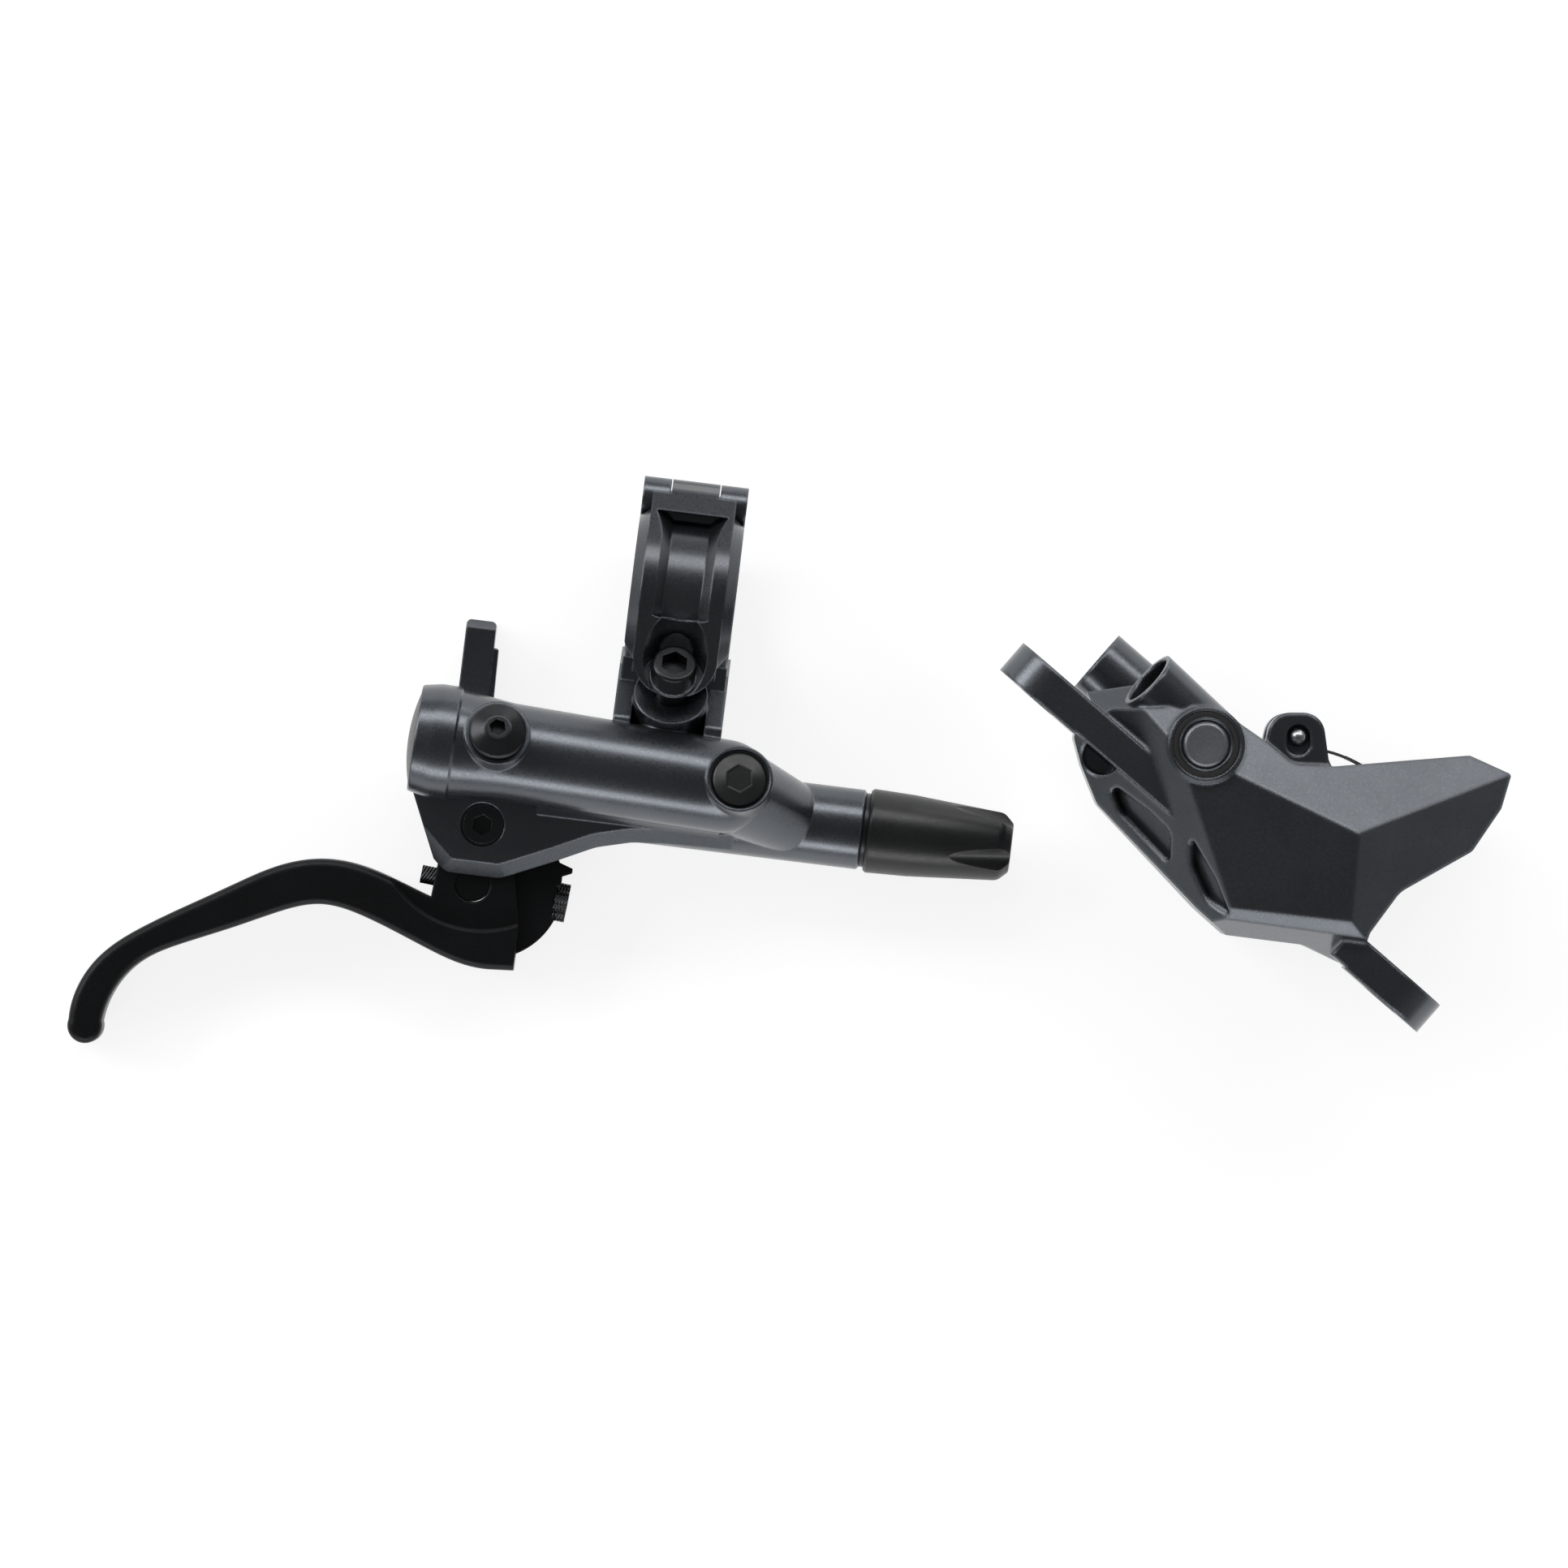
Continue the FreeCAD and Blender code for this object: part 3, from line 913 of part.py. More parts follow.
def hose_cover():
    """The boot over the nut, with four scoops near its nose."""
    length = COVER_END - COVER_START
    profile = [(0, 0, 0), (0, COVER_R - 0.4, 0.3), (0.5, COVER_R, 0.3), (length * 0.3, COVER_R - 0.2, 20.0),
               (length * 0.93, COVER_NOSE_R, 2.0), (length, COVER_NOSE_R - 1.6, 0.8), (length, 0, 0)]
    solid = turned(profile, on_master(COVER_START), X_AXIS)
    scoops = []
    for i in range(COVER_SCOOPS):
        turn = 2 * math.pi * i / COVER_SCOOPS + math.radians(COVER_SCOOP_TURN)
        out = V(0, math.cos(turn), math.sin(turn))
        scoops.append(cylinder(SCOOP_R, on_master(COVER_START + length * 0.52) + out * (COVER_R + SCOOP_R - 0.3),
                               on_master(COVER_END + 3) + out * (COVER_NOSE_R + SCOOP_R - 2.4)))
    nut_room = cylinder(NUT_HEX / math.sqrt(3) + 0.15, on_master(COVER_START - 1),
                        on_master(COVER_START + NUT_HEX_LONG + 0.3))
    return solid.cut(scoops + [nut_room, cylinder(HOSE_R, on_master(0), on_master(80))])


# The caliper, drawn in its own frame and then laid beside the lever

CALIPER_PLACE = FreeCAD.Placement(V(CALIPER_AT[0], CALIPER_AT[1], BENCH_Z + INBOARD_DEEP),
                                  FreeCAD.Rotation(Z_AXIS, CALIPER_TURN))
EAR_DIR = V(math.cos(math.radians(EAR_TURN)), math.sin(math.radians(EAR_TURN)), 0)
EAR_NORMAL = V(-EAR_DIR.y, EAR_DIR.x, 0)
HALF_SPACING = POST_SPACING / 2
ROTOR_CENTRE = V(PAD_MIDDLE, ROTOR_RIM - ROTOR_R, 0)
PISTON_AT = [V(PAD_MIDDLE - PISTON_PITCH / 2, PISTON_Y, 0), V(PAD_MIDDLE + PISTON_PITCH / 2, PISTON_Y, 0)]
PAD_BACK = LINING_GAP + LINING_THICK + BACKING_THICK
OUTSIDE = 1
INSIDE = -1


def on_ear_line(along, across, z):
    """A point given along and across the line through both mounting ears."""
    return EAR_DIR * along + EAR_NORMAL * across + V(0, 0, z)


def facing(shape, side):
    """The shape as drawn for the outer side, or its mirror image in the rotor's plane."""
    return shape if side == OUTSIDE else shape.mirror(V(0, 0, 0), Z_AXIS)


def above_plane(first, second, third, sunk=0.0):
    """What lies above a sloping plane through three points, or above its copy a little lower down."""
    normal = (second - first).cross(third - first).normalize()
    if normal.z < 0:
        normal = normal * -1
    return half_space(first - normal * sunk, normal)


# Corners of the outer face, and points on the slopes that fall away from it
FACE_TOP_LEFT = V(-7.4, 15.1, OUTBOARD_TALL)
FACE_TOP_RIGHT = V(22.4, 0.7, OUTBOARD_TALL)
FACE_LOW_RIGHT = V(21.06, -14.0, OUTBOARD_TALL)
FACE_LOW_LEFT = V(2.2, -13.2, OUTBOARD_TALL)
LOW_EDGE_LEFT = V(2.28, -11.5, OUTBOARD_TALL)
LOW_EDGE_RIGHT = V(21.06, -13.65, OUTBOARD_TALL)
BEVEL_FOOT_LEFT = V(2.1, -13.47, 22.5)
BEVEL_FOOT_RIGHT = V(21.06, -15.95, 22.5)
WING_TIP = V(47.85, 10.2, 5.2)
LEFT_TOE = V(-20.5, 5.3, 9.0)
LOWER_TOE = V(8.0, -16.8, 15.0)

CALIPER_OUTLINE = [(-24.0, 17.0, 1.5), (-22.6, 11.8, 3.0), (-20.0, 5.4, 3.0), (-4.0, -11.5, 3.0), (0.85, -15.9, 0.6),
                   (13.5, -17.5, 5.0), (22.0, -21.6, 1.0), (24.2, -15.5, 2.5), (29.2, -8.9, 5.0), (41.3, -2.3, 2.0),
                   (46.2, 4.7, 1.5), (47.9, 10.3, 0.6), (41.06, 13.4, 1.0), (19.0, 11.6, 2.0), (11.8, 11.9, 3.5),
                   (7.6, 15.5, 1.5), (-1.0, 21.5, 2.0), (-17.6, 21.0, 2.0)]


def plan_block(tall):
    return prism(CALIPER_OUTLINE, 0, tall)


def outer_facets():
    """The flat outer face falls away to four sides in sloping planes."""
    return [above_plane(FACE_TOP_LEFT, FACE_TOP_RIGHT, WING_TIP),
            above_plane(FACE_TOP_RIGHT, FACE_LOW_RIGHT, WING_TIP),
            above_plane(FACE_TOP_LEFT, FACE_LOW_LEFT, LEFT_TOE),
            above_plane(LOW_EDGE_LEFT, LOW_EDGE_RIGHT, BEVEL_FOOT_LEFT),
            above_plane(BEVEL_FOOT_LEFT, BEVEL_FOOT_RIGHT, LOWER_TOE)]


def facet_pocket(corners, depth):
    """A sunk panel in the sloping left facet, with a floor that is parallel to it."""
    return prism(corners, -5, 40).common(above_plane(FACE_TOP_LEFT, FACE_LOW_LEFT, LEFT_TOE, depth))


def mounting_ear(end):
    """One ear: a flat tongue with a round end, whose bolting face stands a little proud of the arm."""
    reach = HALF_SPACING * end
    root = EAR_ROOT[0] if end < 0 else EAR_ROOT[1]
    centre = on_ear_line(reach, -EAR_THICK / 2, EAR_Z)
    head = cylinder(EAR_R, centre, centre + EAR_NORMAL * EAR_THICK)
    pad_edge = reach - EAR_R * end
    bars = []
    for start, stop, set_back in [(reach, pad_edge, 0), (pad_edge, root, EAR_PAD_PROUD)]:
        low, high = sorted([start, stop])
        bar = Part.makeBox(high - low, EAR_THICK - set_back, 2 * EAR_R,
                           V(low, set_back - EAR_THICK / 2, EAR_Z - EAR_R))
        bar.Placement = FreeCAD.Placement(V(0, 0, 0), FreeCAD.Rotation(Z_AXIS, EAR_TURN))
        bars.append(bar)
    return head.fuse(bars)


def ear_slot(end):
    half = (EAR_SLOT_LENGTH - 2 * EAR_SLOT_R) / 2
    centre = on_ear_line(HALF_SPACING * end, -20, EAR_Z)
    ends = [cylinder(EAR_SLOT_R, centre + Z_AXIS * lift, centre + Z_AXIS * lift + EAR_NORMAL * 40)
            for lift in (-half, half)]
    middle = Part.makeBox(2 * EAR_SLOT_R, 40, 2 * half, V(HALF_SPACING * end - EAR_SLOT_R, -20, EAR_Z - half))
    middle.Placement = FreeCAD.Placement(V(0, 0, 0), FreeCAD.Rotation(Z_AXIS, EAR_TURN))
    return ends[0].fuse([ends[1], middle])


def on_near_port(deep):
    """A point on the hose port's axis, measured from its mouth into the body."""
    turn, rise = math.radians(NEAR_PORT_TURN), math.radians(NEAR_PORT_RISE)
    inward = V(math.cos(turn) * math.cos(rise), math.sin(turn) * math.cos(rise), -math.sin(rise))
    return V(*NEAR_PORT_MOUTH) + inward * deep


def on_far_port(along):
    """A point on the bleed port's axis, measured along the ear line."""
    return on_ear_line(along, FAR_PORT_ACROSS, FAR_PORT_Z)


def pin_lug():
    """The lug that carries the pad pin, upright beside the pads."""
    outline = [(6.2, 8.0, 0), (20.0, 8.0, 0), (17.7, 12.6, 2.0), (PAD_MIDDLE + 3.9, 20.4, 3.6),
               (PAD_MIDDLE - 4.3, 20.4, 3.8), (7.2, 14.5, 2.0)]
    return prism(outline, LUG_LOW, LUG_HIGH)


def piston_bores(side):
    """Bores with a groove each for the square seal, and the drilling that joins them."""
    cuts = []
    for place, radius in zip(PISTON_AT, PISTON_R):
        bore = cylinder(radius, place, place + Z_AXIS * PISTON_BORE_TOP)
        groove = cylinder(radius + SEAL_WIDE, place + Z_AXIS * SEAL_Z, place + Z_AXIS * (SEAL_Z + SEAL_TALL))
        cuts += [bore, groove]
    high = Z_AXIS * (PISTON_BORE_TOP - PASSAGE_R)
    cuts.append(cylinder(PASSAGE_R, PISTON_AT[0] + high, PISTON_AT[1] + high))
    cuts.append(cylinder(PASSAGE_R, PISTON_AT[0] + high, V(TRANSFER[0], TRANSFER[1], 0) + high))
    cuts.append(cylinder(PASSAGE_R, V(TRANSFER[0], TRANSFER[1], -1), V(TRANSFER[0], TRANSFER[1], 0) + high))
    return [facing(cut, side) for cut in cuts]


def pad_outline(grow):
    """The pads' outline: parallel flanks on top, then drawn in towards the wheel's centre."""
    half, low = PAD_LENGTH / 2 + grow, PAD_LOW - grow
    corner = PAD_LOW_LENGTH / 2 + grow
    return [(PAD_MIDDLE - half, PAD_LOW + PAD_TALL, 1.0), (PAD_MIDDLE - half, 0.0, 2.0), (PAD_MIDDLE - corner, low, 2.0),
            (PAD_MIDDLE + corner, low, 2.0), (PAD_MIDDLE + half, 0.0, 2.0), (PAD_MIDDLE + half, PAD_LOW + PAD_TALL, 1.0)]


def pad_room():
    """The space for both pads, open at the top, and the gap for the rotor."""
    tall = PAD_BACK + 0.3
    lower = prism(pad_outline(PAD_ROOM), -tall, tall)
    half = PAD_LENGTH / 2 + PAD_ROOM
    upper = box(V(PAD_MIDDLE - half, PAD_LOW + PAD_TALL - 3, -tall), V(PAD_MIDDLE + half, 60, tall))
    rotor = cylinder(ROTOR_R + 2, ROTOR_CENTRE - Z_AXIS * ROTOR_GAP / 2, ROTOR_CENTRE + Z_AXIS * ROTOR_GAP / 2)
    return [lower, upper, rotor]


def bolt_holes(radius, low, high):
    return [cylinder(radius, V(x, y, low), V(x, y, high)) for x, y in BODY_BOLTS]


def left_pockets():
    """Two leaf-shaped panels and a round scoop in the left facet."""
    leaf = facet_pocket([(-18.6, 9.7, 0.8), (-11.5, 4.4, 6.0), (-8.1, 1.0, 3.0), (-8.2, -4.6, 0.6), (-16.4, 4.2, 4.0)], 1.3)
    small_leaf = facet_pocket([(-5.1, 0.7, 0.4), (-0.9, -6.6, 8.0), (1.6, -12.9, 0.3), (-2.3, -10.3, 5.0), (-4.9, -4.5, 6.0)],
                              1.2)
    scoop = cylinder(SCOOP_ROUND_R, V(SCOOP_AT[0], SCOOP_AT[1], SCOOP_FLOOR), V(SCOOP_AT[0], SCOOP_AT[1], 40))
    return [leaf, small_leaf, scoop]


def gusset():
    """The sloping web between the upper ear and the hose port."""
    block = prism([(-21.6, 23.8, 0), (-13.4, 25.0, 0), (-11.0, 18.0, 0), (-19.0, 18.0, 0)], 0.5, 14)
    return block.cut(above_plane(V(-21.6, 23.8, 4.0), V(-13.4, 25.0, 4.0), V(-15.0, 19.5, 9.5)))


def outboard_half():
    block = plan_block(OUTBOARD_TALL).cut(outer_facets()).cut(left_pockets())
    boss = V(PASSAGE_PLUG[0], PASSAGE_PLUG[1], 0)
    inlet = Z_AXIS * (PISTON_BORE_TOP - PASSAGE_R - 0.6)
    solid = block.fuse([mounting_ear(-1), mounting_ear(1), cylinder(PORT_R, on_near_port(0), on_near_port(NEAR_PORT_LENGTH)),
                        pin_lug(), gusset(), cylinder(PLUG_BOSS_R, boss + Z_AXIS * 6, boss + Z_AXIS * PLUG_BOSS_TOP)])
    slot = facet_pocket([(-12.0, 6.9, 1.5), (-10.2, 8.0, 1.5), (-3.0, 0.7, 0), (-6.9, 0.2, 0)], 1.7)
    cuts = pad_room() + piston_bores(OUTSIDE) + bolt_holes(BODY_BOLT_R, -1, BOLT_THREAD_TOP) + [
        slot, ear_slot(-1), ear_slot(1),
        cylinder(PORT_THREAD_R, on_near_port(-2), on_near_port(PORT_DEEP)),
        cylinder(PASSAGE_R, on_near_port(0), on_near_port(14.4)),
        cylinder(PASSAGE_R, boss + inlet, PISTON_AT[0] + inlet),
        cylinder(PLUG_R, boss + Z_AXIS * (PLUG_BOSS_TOP - PLUG_DEEP), boss + Z_AXIS * 40),
        cylinder(PLUG_R - 1.0, boss + Z_AXIS * PISTON_BORE_TOP / 2, boss + Z_AXIS * 40),
        ring(PLUG_R + 1.3, PLUG_R + 0.6, boss + Z_AXIS * (PLUG_BOSS_TOP - 0.6), boss + Z_AXIS * 40),
        cylinder(PAD_PIN_R + BORE_CLEARANCE, V(PAD_MIDDLE, PAD_PIN_Y, -1), V(PAD_MIDDLE, PAD_PIN_Y, 40)),
        prism([(PAD_MIDDLE - 1.9, PAD_PIN_Y - 2.9, 1.85), (PAD_MIDDLE + 1.9, PAD_PIN_Y - 2.9, 1.85),
               (PAD_MIDDLE + 1.9, PAD_PIN_Y + 2.1, 1.85), (PAD_MIDDLE - 1.9, PAD_PIN_Y + 2.1, 1.85)],
              LUG_HIGH - 1.6, 40),
        box(V(-60, -60, -60), V(80, 60, 0))]
    return solid.cut(cuts).removeSplitter()


def inboard_half():
    """The hidden half is flatter: it carries the bleed port and the heads of the body bolts."""
    block = prism(CALIPER_OUTLINE, 0, INBOARD_DEEP)
    slopes = [above_plane(V(3.9, 13.0, INBOARD_DEEP), V(26.0, 2.0, INBOARD_DEEP), V(44.0, 11.0, 13.0)),
              above_plane(V(26.0, 2.0, INBOARD_DEEP), V(24.0, -14.0, INBOARD_DEEP), V(46.0, 4.0, 13.0)),
              above_plane(V(-8.0, 16.0, INBOARD_DEEP), V(-3.0, -11.0, INBOARD_DEEP), V(-21.0, 6.0, 12.0)),
              above_plane(V(0.5, -13.4, INBOARD_DEEP), V(20.0, -15.4, INBOARD_DEEP), V(8.0, -18.6, 14.0))]
    block = block.cut(slopes)
    far = on_far_port(FAR_PORT_END)
    solid = block.fuse([cylinder(FAR_PORT_R, far, on_far_port(-3.0)), pin_lug()])
    inlet = Z_AXIS * (PISTON_BORE_TOP - PASSAGE_R - 0.6)
    solid = solid.cut([cylinder(BLEED_BORE_R, far - EAR_DIR, far + EAR_DIR * PORT_DEEP),
                       cylinder(BLEED_TUBE_R, far - EAR_DIR, far + EAR_DIR * BLEED_SUNK),
                       cylinder(PASSAGE_R, far, on_far_port(-14.0)),
                       cylinder(PASSAGE_R, on_far_port(-14.0), PISTON_AT[0] + inlet),
                       cylinder(PAD_PIN_R + BORE_CLEARANCE, V(PAD_MIDDLE, PAD_PIN_Y, -1),
                                V(PAD_MIDDLE, PAD_PIN_Y, 40))])
    heads = [cylinder(BODY_BOLT_HEAD_R + 0.4, V(x, y, BOLT_HEAD_SEAT), V(x, y, 60)) for x, y in BODY_BOLTS]
    solid = solid.cut(heads + bolt_holes(BODY_BOLT_R, -1, 60))
    solid = facing(solid, INSIDE)
    groove = cylinder(TRANSFER_RING_R, V(TRANSFER[0], TRANSFER[1], -TRANSFER_RING_TALL), V(TRANSFER[0], TRANSFER[1], 1))
    return solid.cut(pad_room() + piston_bores(INSIDE) + [groove, box(V(-60, -60, 0), V(80, 60, 60))]).removeSplitter()


def passage_plug():
    boss = V(PASSAGE_PLUG[0], PASSAGE_PLUG[1], 0)
    profile = [(-PLUG_DEEP, 0, 0), (-PLUG_DEEP, PLUG_R, 0.3), (-0.5, PLUG_R, 0), (0.3, PLUG_R - 0.7, 0.4),
               (0.15, 0.5, 0), (0.15, 0, 0)]
    return stand(turned(profile, V(0, 0, 0), X_AXIS), boss + Z_AXIS * PLUG_BOSS_TOP, Z_AXIS)


def plug_o_ring():
    boss = V(PASSAGE_PLUG[0], PASSAGE_PLUG[1], 0)
    return ring(PLUG_R + 1.3, PLUG_R + 0.6, boss + Z_AXIS * (PLUG_BOSS_TOP - 0.6), boss + Z_AXIS * (PLUG_BOSS_TOP + 0.1))


def transfer_o_ring():
    base = V(TRANSFER[0], TRANSFER[1], -TRANSFER_RING_TALL)
    return ring(TRANSFER_RING_R, TRANSFER_RING_R - 1.0, base, V(TRANSFER[0], TRANSFER[1], 0))


def caliper_piston(index, side):
    """A cup, open towards the pad."""
    place, radius = PISTON_AT[index], PISTON_R[index] - BORE_CLEARANCE
    base = place + Z_AXIS * PAD_BACK
    cup = cylinder(radius, base, base + Z_AXIS * PISTON_TALL)
    cup = cup.makeChamfer(0.5, edges_where(cup, lambda edge: edge.BoundBox.ZMin > PAD_BACK + 1
                                           and edge.BoundBox.ZLength < 0.01))
    hollow = cylinder(radius - PISTON_WALL, base - Z_AXIS, base + Z_AXIS * (PISTON_TALL - PISTON_FLOOR))
    return facing(cup.cut(hollow), side)


def piston_seal(index, side):
    place, radius = PISTON_AT[index], PISTON_R[index]
    return facing(ring(radius + SEAL_WIDE, radius, place + Z_AXIS * SEAL_Z, place + Z_AXIS * (SEAL_Z + SEAL_TALL)), side)


def pad_backing(side):
    """The steel plate, with the ear that hangs on the pad pin."""
    low = LINING_GAP + LINING_THICK
    top = PAD_LOW + PAD_TALL
    plate = prism(pad_outline(0), low, PAD_BACK)
    ear = prism([(PAD_MIDDLE - 5.5, top - 1, 0), (PAD_MIDDLE + 5.5, top - 1, 0), (PAD_MIDDLE + 3.6, PAD_PIN_Y + 3, 2.5),
                 (PAD_MIDDLE - 3.6, PAD_PIN_Y + 3, 2.5)], low, PAD_BACK)
    hole = cylinder(PAD_PIN_R + PIN_CLEARANCE, V(PAD_MIDDLE, PAD_PIN_Y, 0), V(PAD_MIDDLE, PAD_PIN_Y, 20))
    return facing(fuse(plate, ear).cut(hole), side)


def pad_lining(side):
    """The friction block, with a groove across its middle."""
    low, high = LINING_GAP, LINING_GAP + LINING_THICK
    half, corner = PAD_LENGTH / 2 - 1.2, PAD_LOW_LENGTH / 2 - 0.6
    block = prism([(PAD_MIDDLE - half, PAD_LOW + PAD_TALL - 2.4, 1.0), (PAD_MIDDLE - half, 0.2, 2.0),
                   (PAD_MIDDLE - corner, PAD_LOW + 0.8, 1.5), (PAD_MIDDLE + corner, PAD_LOW + 0.8, 1.5),
                   (PAD_MIDDLE + half, 0.2, 2.0), (PAD_MIDDLE + half, PAD_LOW + PAD_TALL - 2.4, 1.0)], low, high)
    groove = box(V(PAD_MIDDLE - 0.7, -20, low - 1), V(PAD_MIDDLE + 0.7, 20, low + 1.1))
    return facing(block.cut(groove), side)


def pad_spring():
    """A bowed leaf under the pad pin that presses both pads down, narrow between their ears."""
    top = PAD_LOW + PAD_TALL
    low, high = top + SPRING_LEAF * 0.2, PAD_PIN_Y - PAD_PIN_R - SPRING_LEAF - 0.05
    half = PAD_SPRING_LONG / 2
    upper = Part.Arc(V(PAD_MIDDLE - half, low + SPRING_LEAF, 0), V(PAD_MIDDLE, high + SPRING_LEAF, 0),
                     V(PAD_MIDDLE + half, low + SPRING_LEAF, 0)).toShape()
    lower = Part.Arc(V(PAD_MIDDLE + half, low, 0), V(PAD_MIDDLE, high, 0), V(PAD_MIDDLE - half, low, 0)).toShape()
    ends = [Part.LineSegment(V(PAD_MIDDLE + half, low + SPRING_LEAF, 0), V(PAD_MIDDLE + half, low, 0)).toShape(),
            Part.LineSegment(V(PAD_MIDDLE - half, low, 0), V(PAD_MIDDLE - half, low + SPRING_LEAF, 0)).toShape()]
    face = Part.Face(Part.Wire([upper, ends[0], lower, ends[1]]))
    face.translate(V(0, 0, -PAD_BACK + 0.3))
    leaf = face.extrude(V(0, 0, 2 * PAD_BACK - 0.6))
    waist = SPRING_WAIST / 2
    sides = [box(V(PAD_MIDDLE - 8.0, 0, waist), V(PAD_MIDDLE + 8.0, 30, 20)),
             box(V(PAD_MIDDLE - 8.0, 0, -20), V(PAD_MIDDLE + 8.0, 30, -waist))]
    return leaf.cut(sides)


def pad_pin():
    """A plain pin through both lugs and pads, with a bright rounded end in the outer lug's recess."""
    foot = V(PAD_MIDDLE, PAD_PIN_Y, -LUG_HIGH - 2 * PIN_CLIP_THICK)
    shank = cylinder(PAD_PIN_R, foot, V(PAD_MIDDLE, PAD_PIN_Y, LUG_HIGH - 0.6))
    nose = Part.makeSphere(PAD_PIN_R, V(PAD_MIDDLE, PAD_PIN_Y, LUG_HIGH - 0.6))
    groove = foot + Z_AXIS * PIN_CLIP_THICK
    return fuse(shank, nose).cut(ring(PAD_PIN_R + 1, PAD_PIN_R - 0.5, groove, groove + Z_AXIS * PIN_CLIP_THICK))


def pin_clip():
    """The split pin's bent end, behind the inner lug."""
    base = V(PAD_MIDDLE, PAD_PIN_Y, -LUG_HIGH - PIN_CLIP_THICK)
    clip = ring(PAD_PIN_R + 1.2, PAD_PIN_R - 0.5, base, base + Z_AXIS * PIN_CLIP_THICK)
    return clip.cut(box(base - V(0.8, 10, 1), base + V(0.8, 0, 2)))


def body_bolts():
    """Two screws that hold the halves together, with their heads sunk in the inboard side."""
    bolts = []
    for x, y in BODY_BOLTS:
        head = cylinder(BODY_BOLT_HEAD_R, V(x, y, -BOLT_HEAD_SEAT - BODY_BOLT_HEAD_TALL), V(x, y, -BOLT_HEAD_SEAT))
        shank = cylinder(BODY_BOLT_R, V(x, y, -BOLT_HEAD_SEAT), V(x, y, BOLT_THREAD_TOP - 0.5))
        socket = hexagon(4.0, V(x, y, -BOLT_HEAD_SEAT - 2.0), V(x, y, -60))
        bolts.append(fuse(head, shank).cut(socket))
    return Part.Compound(bolts)


def bleed_valve():
    """A bleed screw, sunk in its tube, that opens by a quarter turn."""
    far = on_far_port(FAR_PORT_END)
    place = V(far.x, far.y, -far.z)
    low = place + EAR_DIR * (PORT_DEEP - 0.8)
    shank = cylinder(BLEED_BORE_R - BORE_CLEARANCE, place + EAR_DIR * BLEED_SUNK, low)
    nose = cone(BLEED_BORE_R - BORE_CLEARANCE - 0.8, 0.5, low, low + EAR_DIR * 0.7)
    head = hexagon(BLEED_HEX, place + EAR_DIR * (BLEED_SUNK - 3.2), place + EAR_DIR * (BLEED_SUNK + 0.1))
    drill = cylinder(0.9, place - EAR_DIR * 5, low - EAR_DIR * 1.5)
    return shank.fuse([nose, head]).cut(drill)


def lay(shape):
    """Puts a caliper piece where the caliper lies beside the lever."""
    placed = shape.copy()
    placed.Placement = CALIPER_PLACE.multiply(shape.Placement)
    return placed


def build_caliper():
    save("outboard_half", lay(outboard_half()))
    save("inboard_half", lay(inboard_half()))
    save("passage_plug", lay(passage_plug()))
    save("plug_o_ring", lay(plug_o_ring()))
    save("transfer_o_ring", lay(transfer_o_ring()))
    for side, word in ((OUTSIDE, "outboard"), (INSIDE, "inboard")):
        for index, which in enumerate(("small", "large")):
            save("%s_%s_piston" % (word, which), lay(caliper_piston(index, side)))
            save("%s_%s_seal" % (word, which), lay(piston_seal(index, side)))
        save("%s_backing" % word, lay(pad_backing(side)))
        save("%s_lining" % word, lay(pad_lining(side)))
    save("pad_spring", lay(pad_spring()))
    save("pad_pin", lay(pad_pin()))
    save("pin_clip", lay(pin_clip()))
    save("body_bolts", lay(body_bolts()))
    save("bleed_valve", lay(bleed_valve()))


def build_lever():
    save("lever_body", lever_body())
    save("reservoir_cap", reservoir_cap())
    save("reservoir_diaphragm", reservoir_diaphragm())
    save("bleed_screw", bleed_screw())
    save("bleed_seal", bleed_seal())
    save("port_plug", port_plug())
    save("clamp_band", clamp_band())
    save("clamp_hinge_pin", clamp_hinge_pin())
    save("clamp_bolt", clamp_bolt())
    save("clamp_washer", clamp_washer())
    save("lever_blade", lever_blade())
    save("trunnion_nut", trunnion_nut())
    save("lever_carrier", lever_carrier())
    save("pivot_bush", pivot_bush())
    save("pivot_pin", pivot_pin())
    save("link_pin", link_pin())
    save("reach_screw", reach_screw())
    save("push_rod", push_rod())
    save("master_piston", master_piston())
    save("primary_cup", piston_cup(PRIMARY_CUP_X))
    save("secondary_cup", piston_cup(SECONDARY_CUP_X))
    save("return_spring", return_spring())
    save("circlip", circlip())
    save("olive", olive())
    save("hose_nut", hose_nut())
    save("hose_cover", hose_cover())


os.makedirs("parts", exist_ok=True)
build_lever()
build_caliper()
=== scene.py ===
# %% [markdown]
# # A hydraulic disc brake, dressed for its portrait
# The solids come from the CAD model, each already in its place and in metres. This lesson adds
# what a camera sees on the real thing: paint, anodising, moulded nylon, turned steel, and the small
# soft edges that castings have.

# %% Load the solids
import json
import math

import bpy
from mathutils import Matrix, Vector


